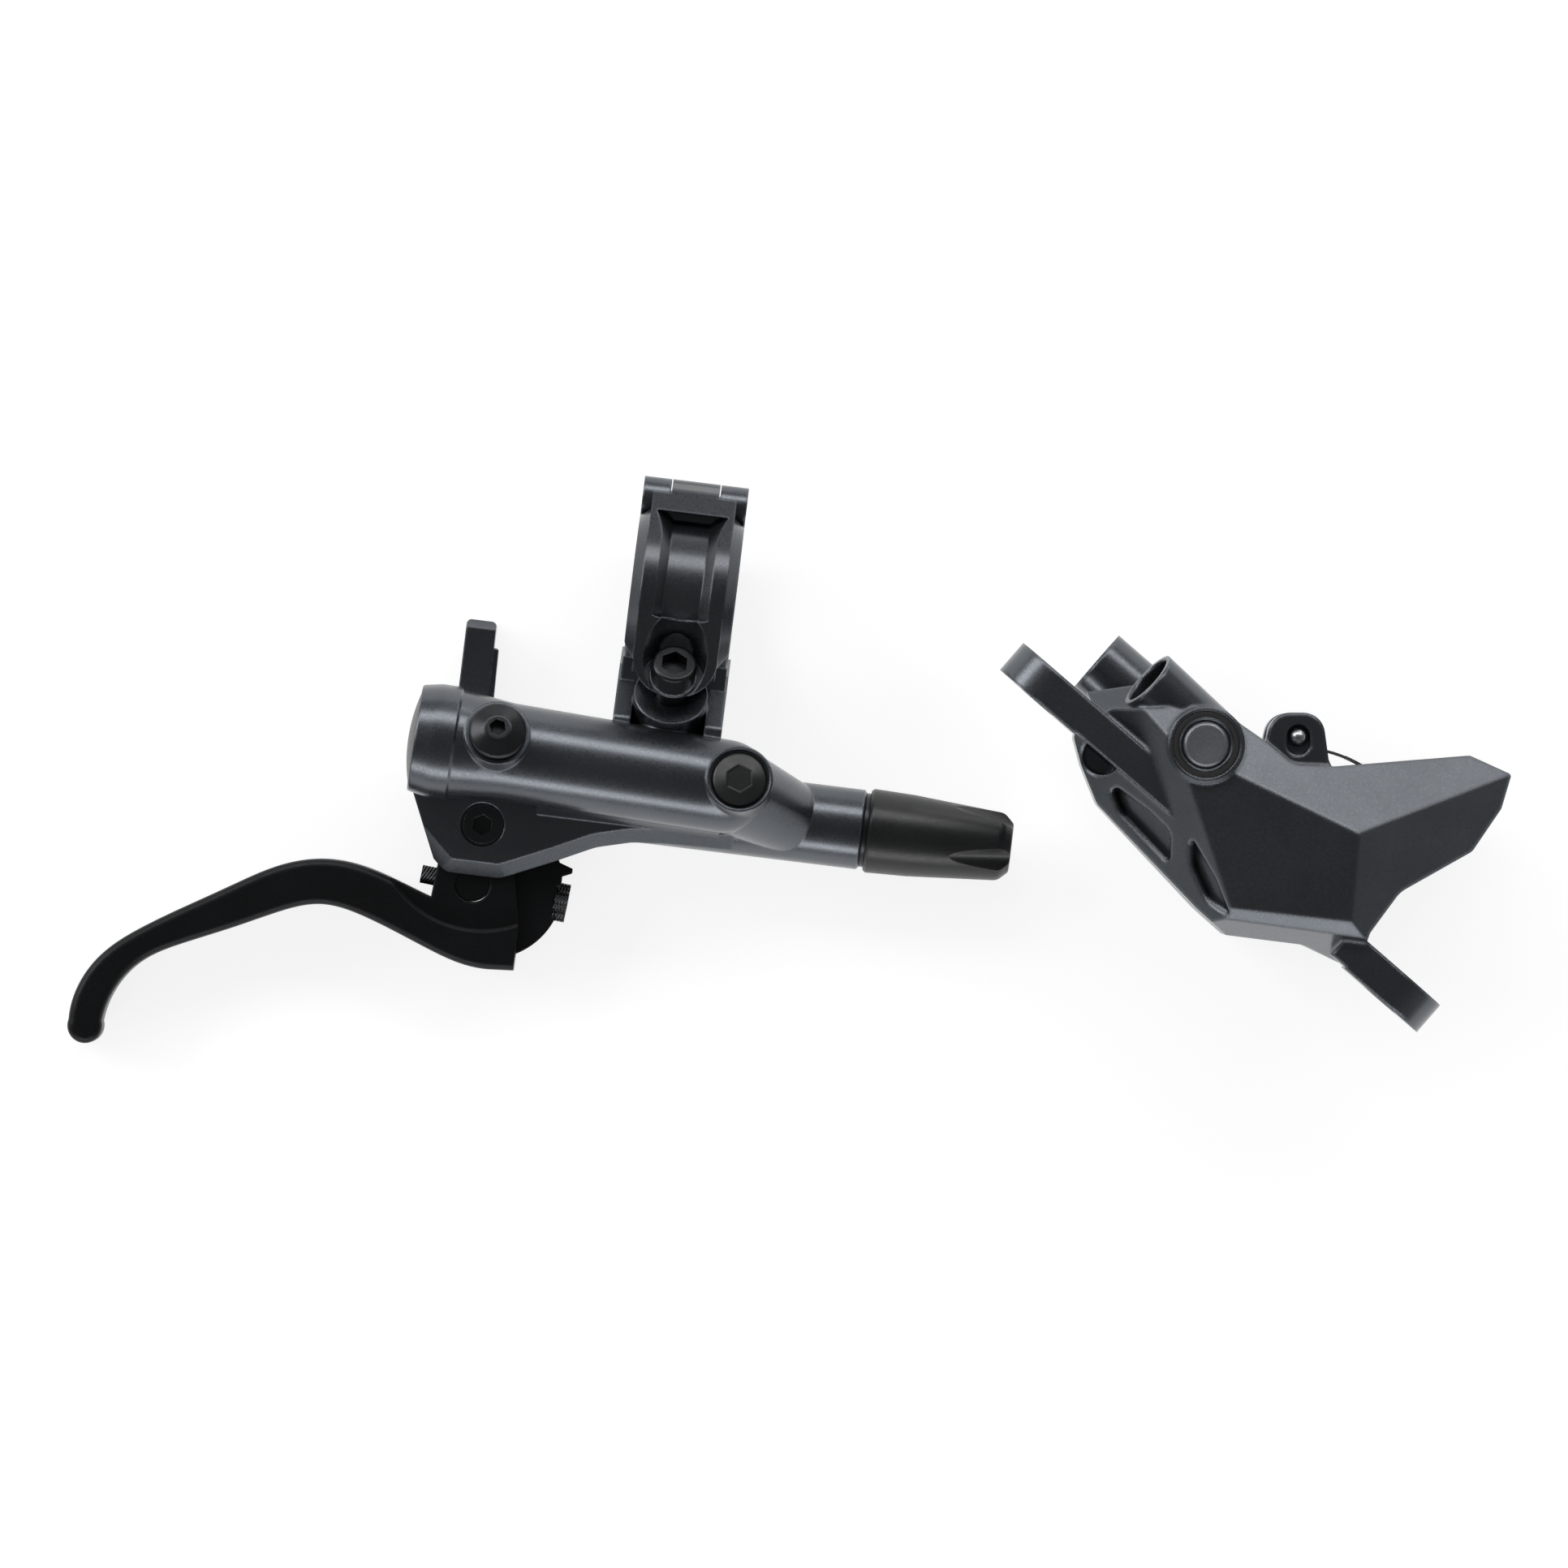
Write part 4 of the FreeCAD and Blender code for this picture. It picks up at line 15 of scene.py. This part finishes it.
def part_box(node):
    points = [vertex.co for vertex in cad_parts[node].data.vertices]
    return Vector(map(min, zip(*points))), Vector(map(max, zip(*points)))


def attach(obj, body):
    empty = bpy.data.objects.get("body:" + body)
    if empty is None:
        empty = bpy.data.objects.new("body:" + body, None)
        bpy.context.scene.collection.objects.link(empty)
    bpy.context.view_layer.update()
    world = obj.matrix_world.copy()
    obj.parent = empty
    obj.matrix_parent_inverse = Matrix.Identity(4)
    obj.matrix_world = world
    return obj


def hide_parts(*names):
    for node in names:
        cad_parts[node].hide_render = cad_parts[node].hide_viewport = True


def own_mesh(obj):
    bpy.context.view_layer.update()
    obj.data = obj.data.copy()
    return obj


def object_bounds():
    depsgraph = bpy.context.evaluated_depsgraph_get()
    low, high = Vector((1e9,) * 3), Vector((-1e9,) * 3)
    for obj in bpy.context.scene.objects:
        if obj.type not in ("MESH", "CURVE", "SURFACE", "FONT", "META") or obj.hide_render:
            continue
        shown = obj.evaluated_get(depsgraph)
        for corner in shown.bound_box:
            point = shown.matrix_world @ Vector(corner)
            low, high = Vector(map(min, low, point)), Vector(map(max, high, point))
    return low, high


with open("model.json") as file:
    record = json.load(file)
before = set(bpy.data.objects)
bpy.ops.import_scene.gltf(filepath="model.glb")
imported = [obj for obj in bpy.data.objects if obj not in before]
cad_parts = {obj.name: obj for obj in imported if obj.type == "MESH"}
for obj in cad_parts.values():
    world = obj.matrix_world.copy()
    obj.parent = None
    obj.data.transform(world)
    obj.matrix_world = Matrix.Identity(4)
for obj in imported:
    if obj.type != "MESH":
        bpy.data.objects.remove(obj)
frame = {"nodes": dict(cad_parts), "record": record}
solids = frame["nodes"]
cad_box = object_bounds()
MM = 0.001
print("solids:", len(solids))

# %% [markdown]
# ## The camera
# A catalogue picture like this one is taken with a long lens from straight above, so circles stay
# round and nothing leans. The handlebar's axis runs seven degrees downhill in it. So the camera is
# built from three facts: where the picture's middle falls on the brake, how many of its pixels one
# millimetre takes, and the roll.

# %% Place the camera
PHOTO_PIXELS = 1932
PIXELS_PER_MM = 7.5
PHOTO_MIDDLE = Vector((20.2, -28.8, 0)) * MM
TOWARDS_CAMERA = Vector((0, 0, 1))
ROLL = math.radians(7)
LENS = 400
SENSOR = 36

distance = LENS / SENSOR * PHOTO_PIXELS / PIXELS_PER_MM * MM
picture_up = Vector((-math.sin(ROLL), math.cos(ROLL), 0))
picture_right = picture_up.cross(TOWARDS_CAMERA).normalized()
turn = Matrix((picture_right, picture_up, TOWARDS_CAMERA)).transposed().to_4x4()
camera_data = bpy.data.cameras.new("camera")
camera_data.lens = LENS
camera_data.sensor_width = SENSOR
camera_data.clip_end = 20
camera = bpy.data.objects.new("camera", camera_data)
camera.matrix_world = Matrix.Translation(PHOTO_MIDDLE + TOWARDS_CAMERA * distance) @ turn
bpy.context.collection.objects.link(camera)
bpy.context.scene.camera = camera
print("camera stands %.2f m away" % distance)

# %% [markdown]
# ## Colours and nodes
# Colours are picked as sRGB hex, as on a paint card, and Blender wants linear light, so one function
# turns them. A second function adds any shader node, sets it and wires it, which keeps each material
# short enough to read as a recipe. A third stretches one range of values onto another.

# %% Four helpers
def colour(text):
    """An sRGB hex colour as linear RGBA."""
    parts = [int(text[i:i + 2], 16) / 255 for i in (1, 3, 5)]
    linear = [c / 12.92 if c <= 0.04045 else ((c + 0.055) / 1.055) ** 2.4 for c in parts]
    return (*linear, 1)


def add(material, kind, wires=None, **settings):
    """Adds a shader node; settings are its properties, wires its inputs, by value or by socket."""
    made = material.node_tree.nodes.new("ShaderNode" + kind)
    for name, value in settings.items():
        setattr(made, name, value)
    for name, value in (wires or {}).items():
        if isinstance(value, bpy.types.NodeSocket):
            material.node_tree.links.new(value, made.inputs[name])
        else:
            made.inputs[name].default_value = value
    return made


def stretch(material, value, source, target):
    """The socket that carries value, with its range source stretched onto the range target."""
    ends = {"From Min": source[0], "From Max": source[1], "To Min": target[0], "To Max": target[1]}
    return add(material, "MapRange", {"Value": value, **ends}).outputs["Result"]


def per_mm(size):
    """The texture scale at which one feature takes that many millimetres."""
    return 1 / (size * MM)


print("mid grey in linear light: %.3f" % colour("#808080")[0])

# %% [markdown]
# ## One surface, many finishes
# Every finish here is a base colour that drifts a little in patches, a gloss that changes with the
# grain, and a fine relief. Real castings and mouldings have edge radii of a few tenths of a
# millimetre, which catch a thin line of light. The Bevel node bends the normals at edges to that
# radius without adding a face. Where its normal leaves the face's own, there is an edge, and that is
# also where hands rub the finish lighter.
#
# Turning marks are worked out from each point's distance along the axis and out from it. Their sum
# grows steadily over a pin's end face and down its side, so one sine wave draws the rings on both.

# %% The surface recipe
GLOSS_SPREAD = 0.05
MIDDLE_OF_PATCHES = (0.35, 0.65)
MIDDLE_OF_GRAINS = (0.3, 0.7)
EDGE_BEGINS_AND_ENDS = (0.99, 0.86)
BEVEL_SAMPLES = 6


def lathe_bump(material, place, normal, centre, direction, pitch, depth):
    """The normal with rings of that pitch and depth, in mm, round an axis through centre."""
    arm = add(material, "VectorMath", {0: place, 1: centre}, operation="SUBTRACT").outputs["Vector"]
    side = add(material, "VectorMath", {0: arm, 1: direction}, operation="CROSS_PRODUCT").outputs["Vector"]
    out = add(material, "VectorMath", {0: side}, operation="LENGTH").outputs["Value"]
    along = add(material, "VectorMath", {0: arm, 1: direction}, operation="DOT_PRODUCT").outputs["Value"]
    path = add(material, "Math", {0: out, 1: along}, operation="ADD").outputs["Value"]
    turns = add(material, "Math", {0: path, 1: 2 * math.pi / (pitch * MM)}, operation="MULTIPLY")
    groove = add(material, "Math", {0: turns.outputs["Value"]}, operation="SINE").outputs["Value"]
    rings = {"Height": groove, "Distance": depth * MM, "Normal": normal}
    return add(material, "Bump", rings).outputs["Normal"]


def rub_edges(material, soft, tone, patches, rubbed, rub):
    """The colour tone, drifting to rubbed where the softened normal leaves the face's own."""
    plain = add(material, "NewGeometry").outputs["Normal"]
    bent = add(material, "VectorMath", {0: soft, 1: plain}, operation="DOT_PRODUCT").outputs["Value"]
    corner = stretch(material, bent, EDGE_BEGINS_AND_ENDS, (0.0, rub))
    broken = add(material, "Math", {0: corner, 1: patches}, operation="MULTIPLY").outputs["Value"]
    worn = add(material, "Mix", {"Factor": broken, "A": tone}, data_type="RGBA")
    worn.inputs["B"].default_value = colour(rubbed)
    return worn.outputs["Result"]


def surface(name, base, patch_tone, metallic, rough, grain, relief, edge=0.3, patch=9.0, drift=0.5,
            rubbed=None, rub=0.5, lathe=None, extra=None):
    """A named finish. Sizes are in mm; patch_tone is the colour that patches drift to, rubbed the
    colour of worn edges, and lathe the centre, direction, pitch and depth of turning marks."""
    material = bpy.data.materials.new(name)
    material.use_nodes = True
    tree = material.node_tree
    shader = tree.nodes["Principled BSDF"]
    place = add(material, "TexCoord").outputs["Object"]
    wide = {"Vector": place, "Scale": per_mm(patch), "Detail": 3.0}
    fine = {"Vector": place, "Scale": per_mm(grain), "Detail": 2.0}
    patches = add(material, "TexNoise", wide).outputs["Fac"]
    grains = add(material, "TexNoise", fine).outputs["Fac"]
    amount = stretch(material, patches, MIDDLE_OF_PATCHES, (0.0, drift))
    tint = add(material, "Mix", {"Factor": amount}, data_type="RGBA")
    tint.inputs["A"].default_value = colour(base)
    tint.inputs["B"].default_value = colour(patch_tone)
    tone = tint.outputs["Result"]
    gloss = stretch(material, grains, MIDDLE_OF_GRAINS, (rough - GLOSS_SPREAD, rough + GLOSS_SPREAD))
    soft = add(material, "Bevel", {"Radius": edge * MM}, samples=BEVEL_SAMPLES).outputs["Normal"]
    if rubbed:
        tone = rub_edges(material, soft, tone, patches, rubbed, rub)
    pores = {"Height": grains, "Distance": relief * MM, "Normal": soft}
    normal = add(material, "Bump", pores).outputs["Normal"]
    if lathe:
        normal = lathe_bump(material, place, normal, *lathe)
    tree.links.new(tone, shader.inputs["Base Color"])
    tree.links.new(gloss, shader.inputs["Roughness"])
    tree.links.new(normal, shader.inputs["Normal"])
    shader.inputs["Metallic"].default_value = metallic
    for socket, value in (extra or {}).items():
        shader.inputs[socket].default_value = value
    return material


print("recipe ready, edges softened with %d rays" % BEVEL_SAMPLES)

# %% [markdown]
# ## Paint and anodising
# The body and the caliper are cast and forged aluminium under a satin metallic grey paint: aluminium
# flake under a thin clear coat. It reflects like a dark metal and shows a white glint at glancing
# angles, so it is mostly metallic with a weak, rough coat. The flake itself is a few hundredths of a
# millimetre, too fine to draw, so the grain is about ten times coarser and very shallow. The blade
# and its inner arm are black anodised: aluminium dyed under a hard, matt oxide.

# %% Paint and anodising recipes
CLEAR_COAT = {"Coat Weight": 0.3, "Coat Roughness": 0.2}
RECIPES = {
    "grey_paint": dict(name="satin_grey_metallic_paint", base="#5b5f64", patch_tone="#4f5358",
                       metallic=0.92, rough=0.31, grain=0.35, relief=0.0018, edge=0.5,
                       rubbed="#8d9196", extra=CLEAR_COAT),
    "grey_black": dict(name="satin_dark_metallic_paint", base="#4d5054", patch_tone="#43464a",
                       metallic=0.9, rough=0.31, grain=0.35, relief=0.0018, edge=0.45,
                       rubbed="#7d8186", extra=CLEAR_COAT),
    "black_anodised": dict(name="black_anodised_aluminium", base="#202123", patch_tone="#191a1b",
                           metallic=0.75, rough=0.4, grain=0.3, relief=0.006, edge=0.6,
                           rubbed="#3a3b3d"),
}
print("painted and anodised:", len(RECIPES))

# %% [markdown]
# ## Mouldings
# The lids and the hose boot are injection moulded from glass-filled nylon, whose spark-eroded mould
# leaves a fine, even grain. Seals, cups and the diaphragm are moulded nitrile rubber: darker still,
# and dull, because its skin scatters light. Neither is a metal, so both keep the usual index.

# %% Moulded recipes
RECIPES["black_plastic"] = dict(name="moulded_nylon", base="#1a1b1c", patch_tone="#141516",
                                metallic=0.0, rough=0.36, grain=0.4, relief=0.008, edge=0.35)
RECIPES["rubber"] = dict(name="moulded_nitrile_rubber", base="#1c1c1c", patch_tone="#141414",
                         metallic=0.0, rough=0.62, grain=0.5, relief=0.01, edge=0.2)
print("with mouldings:", len(RECIPES))

# %% [markdown]
# ## Bare and blackened metal
# Screws have a black oxide skin that wears bright on the edges of the socket. Pins are turned and
# left bright, springs are drawn wire and glossier, and pad backings are zinc plated, which is duller
# and a touch yellow. The piston is clear anodised. Small parts have small edge radii.

# %% Metal recipes
RECIPES["black_steel"] = dict(name="black_oxide_steel", base="#3a3b3d", patch_tone="#2c2d2f",
                              metallic=0.85, rough=0.33, grain=0.3, relief=0.004, edge=0.15,
                              rubbed="#6d6e70")
RECIPES["steel"] = dict(name="turned_steel", base="#b9babb", patch_tone="#a4a5a7",
                        metallic=1.0, rough=0.3, grain=0.25, relief=0.003, edge=0.1)
RECIPES["spring_steel"] = dict(name="bright_spring_steel", base="#a5a6a8", patch_tone="#8f9092",
                               metallic=1.0, rough=0.26, grain=0.25, relief=0.002, edge=0.05)
RECIPES["plated_steel"] = dict(name="zinc_plated_steel", base="#bcb9b0", patch_tone="#a7a49b",
                               metallic=1.0, rough=0.38, grain=0.6, relief=0.004, edge=0.15)
RECIPES["turned_aluminium"] = dict(name="clear_anodised_aluminium", base="#c4c6c8",
                                   patch_tone="#b4b6b8", metallic=1.0, rough=0.3, grain=0.2,
                                   relief=0.002, edge=0.1)
RECIPES["bronze"] = dict(name="turned_bronze", base="#b39255", patch_tone="#9a7b44",
                         metallic=1.0, rough=0.32, grain=0.25, relief=0.003, edge=0.1)
print("with metals:", len(RECIPES))

# %% [markdown]
# ## Caliper pistons and pad linings
# The caliper's pistons are ground phenolic or ceramic, pale and smooth, to keep the heat from the
# fluid. A lining is pressed from resin, fibre and metal powder: dull, rough, and mottled in flecks of
# about a millimetre, so its patches are small and drift far.

# %% Ceramic and lining recipes
RECIPES["ceramic"] = dict(name="ground_phenolic_ceramic", base="#dcd8cd", patch_tone="#d2cdc0",
                          metallic=0.0, rough=0.3, grain=0.3, relief=0.002, edge=0.15)
RECIPES["friction_resin"] = dict(name="pressed_friction_compound", base="#2c2723",
                                 patch_tone="#4d4034", metallic=0.1, rough=0.8, grain=0.5,
                                 relief=0.05, edge=0.15, patch=1.0, drift=0.9)
print("with ceramic and lining:", len(RECIPES))

# %% [markdown]
# ## Every solid gets its finish
# The record names a material slot for each solid. One finish is made for each slot and shared.

# %% Put the finishes on
FINISHES = {slot: surface(**recipe) for slot, recipe in RECIPES.items()}
slot_of = {part["node"]: part["material_slot"] for part in frame["record"]["subparts"]}
for node, slot in slot_of.items():
    solids[node].data.materials.clear()
    solids[node].data.materials.append(FINISHES[slot])
print("finishes:", len(FINISHES))

# %% [markdown]
# ## Turning marks
# Pins, pistons, screws and plugs come off a lathe, and the tool leaves a fine spiral that spreads each
# highlight into a fan. Real feed marks are near a tenth of a millimetre. They are drawn a little
# coarser, so that they still show. A screw's thread is the same spiral, wider and deeper. Each turned
# piece gets its own copy of its finish, with the marks wound round its own axis. Screws that turn take
# their axis from their joint.
#
# Some pieces also differ from the rest of their slot. The passage plug is machined and painted like the
# casting, but its paint is made paler as a painted highlight for the light on its flat top, and it is
# duller. The reach screw and its cross nut are darker than the other pins. The caliper's forged halves
# have larger edge radii than the lever body.

# %% Wind the marks round each axis
FEED = 0.3
FEED_DEPTH = 0.004
THREAD_PITCH = 0.5
THREAD_DEPTH = 0.12
FORGED_EDGE = 1.1
ALONG_X = (1, 0, 0)
ALONG_Z = (0, 0, 1)
joints = {joint["name"]: joint for joint in frame["record"]["behaviour"]["joints"]}
bolt_axis = joints["clamp_bolt_out"]["axis"]
TURNED = {
    "pivot_pin": ALONG_Z, "link_pin": ALONG_Z, "pivot_bush": ALONG_Z, "trunnion_nut": ALONG_Z,
    "clamp_hinge_pin": ALONG_X, "master_piston": ALONG_X, "push_rod": ALONG_X, "olive": ALONG_X,
    "hose_nut": ALONG_X, "passage_plug": ALONG_Z, "bleed_valve": joints["bleed_valve_turn"]["axis"],
    "clamp_bolt": bolt_axis, "clamp_washer": bolt_axis,
    "outboard_small_piston": ALONG_Z, "outboard_large_piston": ALONG_Z,
    "inboard_small_piston": ALONG_Z, "inboard_large_piston": ALONG_Z,
}
OWN_LOOK = {
    # The plug's paler base colour is a painted highlight for the light its flat top catches.
    "passage_plug": {"name": "plug_paint_with_painted_highlight", "base": "#888c91", "patch_tone": "#7e8287",
                     "rough": 0.42},
    "reach_screw": {"name": "rolled_thread_steel", "base": "#5d5e60", "patch_tone": "#515254"},
    "trunnion_nut": {"name": "black_oxide_steel", "base": "#2b2c2e", "patch_tone": "#222324",
                     "metallic": 0.85},
    "outboard_half": {"name": "forged_and_painted_aluminium", "edge": FORGED_EDGE},
    "inboard_half": {"name": "forged_and_painted_aluminium", "edge": FORGED_EDGE},
}


def dress(node, lathe=None):
    """Gives a node its own copy of its finish; lathe is the direction, pitch and depth of marks."""
    low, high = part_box(node)
    recipe = dict(RECIPES[slot_of[node]], **OWN_LOOK.get(node, {}))
    recipe["name"] += "_" + node
    if lathe:
        recipe["lathe"] = ((low + high) / 2, *lathe)
    solids[node].data.materials[0] = surface(**recipe)


for node in ("outboard_half", "inboard_half"):
    dress(node)
for node, direction in TURNED.items():
    dress(node, (direction, FEED, FEED_DEPTH))
dress("reach_screw", (joints["reach_screw_turn"]["axis"], THREAD_PITCH, THREAD_DEPTH))
print("turned pieces:", len(TURNED) + 1)

# %% [markdown]
# ## The return spring
# The spring in the master cylinder is squeezed by the piston when the lever is pulled, and a solid
# can't do that. Here it is copied onto its own mesh and fixed to the body, so its far end stays on the
# bottom of the bore.

# %% Copy the spring onto the body
spring = bpy.data.objects.new("squeezed_spring", solids["return_spring"].data.copy())
bpy.context.collection.objects.link(spring)
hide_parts("return_spring")
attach(spring, "root")
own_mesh(spring)

# %% [markdown]
# ## The bench
# A white sweep, as in a catalogue picture. To the camera, and in the mirror of the metal, most of its
# light is its own, so it stays white; the rest is an ordinary pale surface that takes the brake's
# shadow. To every other ray it is only pale paper, so it adds no light of its own.

# %% Lay the floor
FLOOR_SIZE = 6.0
OWN_LIGHT = 0.8
PAPER_SHARE = 0.35
floor_z = cad_box[0][2]
sweep = bpy.data.meshes.new("floor")
half = FLOOR_SIZE / 2
corners = [(x * half, y * half, floor_z) for x, y in ((-1, -1), (1, -1), (1, 1), (-1, 1))]
sweep.from_pydata(corners, [], [(0, 1, 2, 3)])
floor = bpy.data.objects.new("floor", sweep)
bpy.context.collection.objects.link(floor)
paper = bpy.data.materials.new("white_paper")
paper.use_nodes = True
paper.node_tree.nodes.remove(paper.node_tree.nodes["Principled BSDF"])
rays = add(paper, "LightPath").outputs
seen = add(paper, "Math", {0: rays["Is Camera Ray"], 1: rays["Is Glossy Ray"]}, operation="ADD")
seen = add(paper, "Math", {0: seen.outputs["Value"], 1: rays["Is Transmission Ray"]}, operation="ADD",
           use_clamp=True)
pale = add(paper, "BsdfDiffuse", {"Color": colour("#f4f4f4")}).outputs["BSDF"]
faint = add(paper, "BsdfDiffuse", {"Color": (PAPER_SHARE, PAPER_SHARE, PAPER_SHARE, 1)}).outputs["BSDF"]
own = add(paper, "Emission", {"Color": colour("#ffffff"), "Strength": OWN_LIGHT}).outputs["Emission"]
white = add(paper, "AddShader", {0: faint, 1: own}).outputs["Shader"]
both = add(paper, "MixShader", {0: seen.outputs["Value"], 1: pale, 2: white}).outputs["Shader"]
paper.node_tree.links.new(both, paper.node_tree.nodes["Material Output"].inputs["Surface"])
sweep.materials.append(paper)
print("floor at %.1f mm" % (floor_z / MM))

# %% [markdown]
# ## The light
# Dark satin metal shows little colour of its own: it shows the room. So product photographers light
# it with long soft boxes and keep the ceiling dark. A flat top then mirrors the dark ceiling and goes
# nearly black, and a tube draws the boxes as two long bands, one on each flank. One box stands behind
# the handlebar, high up, and a lower one in front of the fingers. A shorter box on the left gives the
# bevels and the caliper's upper ear their bright edge. A small one near the bench, behind, is what the
# caliper's steep upper facet mirrors. The room grows lighter towards its walls.

# %% Hang the soft boxes
LAMP_DISTANCE = 1.5


def soft_box(name, bearing, height, size, watts):
    """A rectangular lamp turned to the brake. Bearing and height are in degrees, size in metres."""
    data = bpy.data.lights.new(name, "AREA")
    data.shape = "RECTANGLE"
    data.size, data.size_y = size
    data.energy = watts
    lamp = bpy.data.objects.new(name, data)
    around, up = math.radians(bearing), math.radians(height)
    away = Vector((math.cos(around) * math.cos(up), math.sin(around) * math.cos(up), math.sin(up)))
    facing = away.to_track_quat("Z", "Y").to_matrix().to_4x4()
    lamp.matrix_world = Matrix.Translation(PHOTO_MIDDLE + away * LAMP_DISTANCE) @ facing
    bpy.context.collection.objects.link(lamp)


soft_box("box_behind", bearing=90, height=38, size=(2.2, 0.5), watts=14)
soft_box("box_front", bearing=-90, height=24, size=(2.2, 0.4), watts=12)
soft_box("box_left", bearing=158, height=27, size=(0.9, 0.6), watts=9)
soft_box("box_low_behind", bearing=72, height=7, size=(0.6, 0.25), watts=1.8)
print("lamps:", len(bpy.data.lights))

# %% [markdown]
# ## The room
# The world is a plain room: palest near the horizon, dark overhead. The rise of a direction above the
# horizon sets its strength, so the change is gradual and leaves no edge in the paint.

# %% Paint the room
CEILING = 0.1
WALLS = 0.26
WALL_TOP_AND_CEILING = (0.05, 0.9)
world = bpy.data.worlds.new("studio")
world.use_nodes = True
way = add(world, "TexCoord").outputs["Generated"]
rise = add(world, "SeparateXYZ", {"Vector": way}).outputs["Z"]
shade = stretch(world, rise, WALL_TOP_AND_CEILING, (WALLS, CEILING))
world.node_tree.links.new(shade, world.node_tree.nodes["Background"].inputs["Strength"])
world.node_tree.nodes["Background"].inputs["Color"].default_value = colour("#ffffff")
bpy.context.scene.world = world
bpy.context.scene.view_settings.view_transform = "Standard"
print("room strength: %.2f at the walls, %.2f overhead" % (WALLS, CEILING))
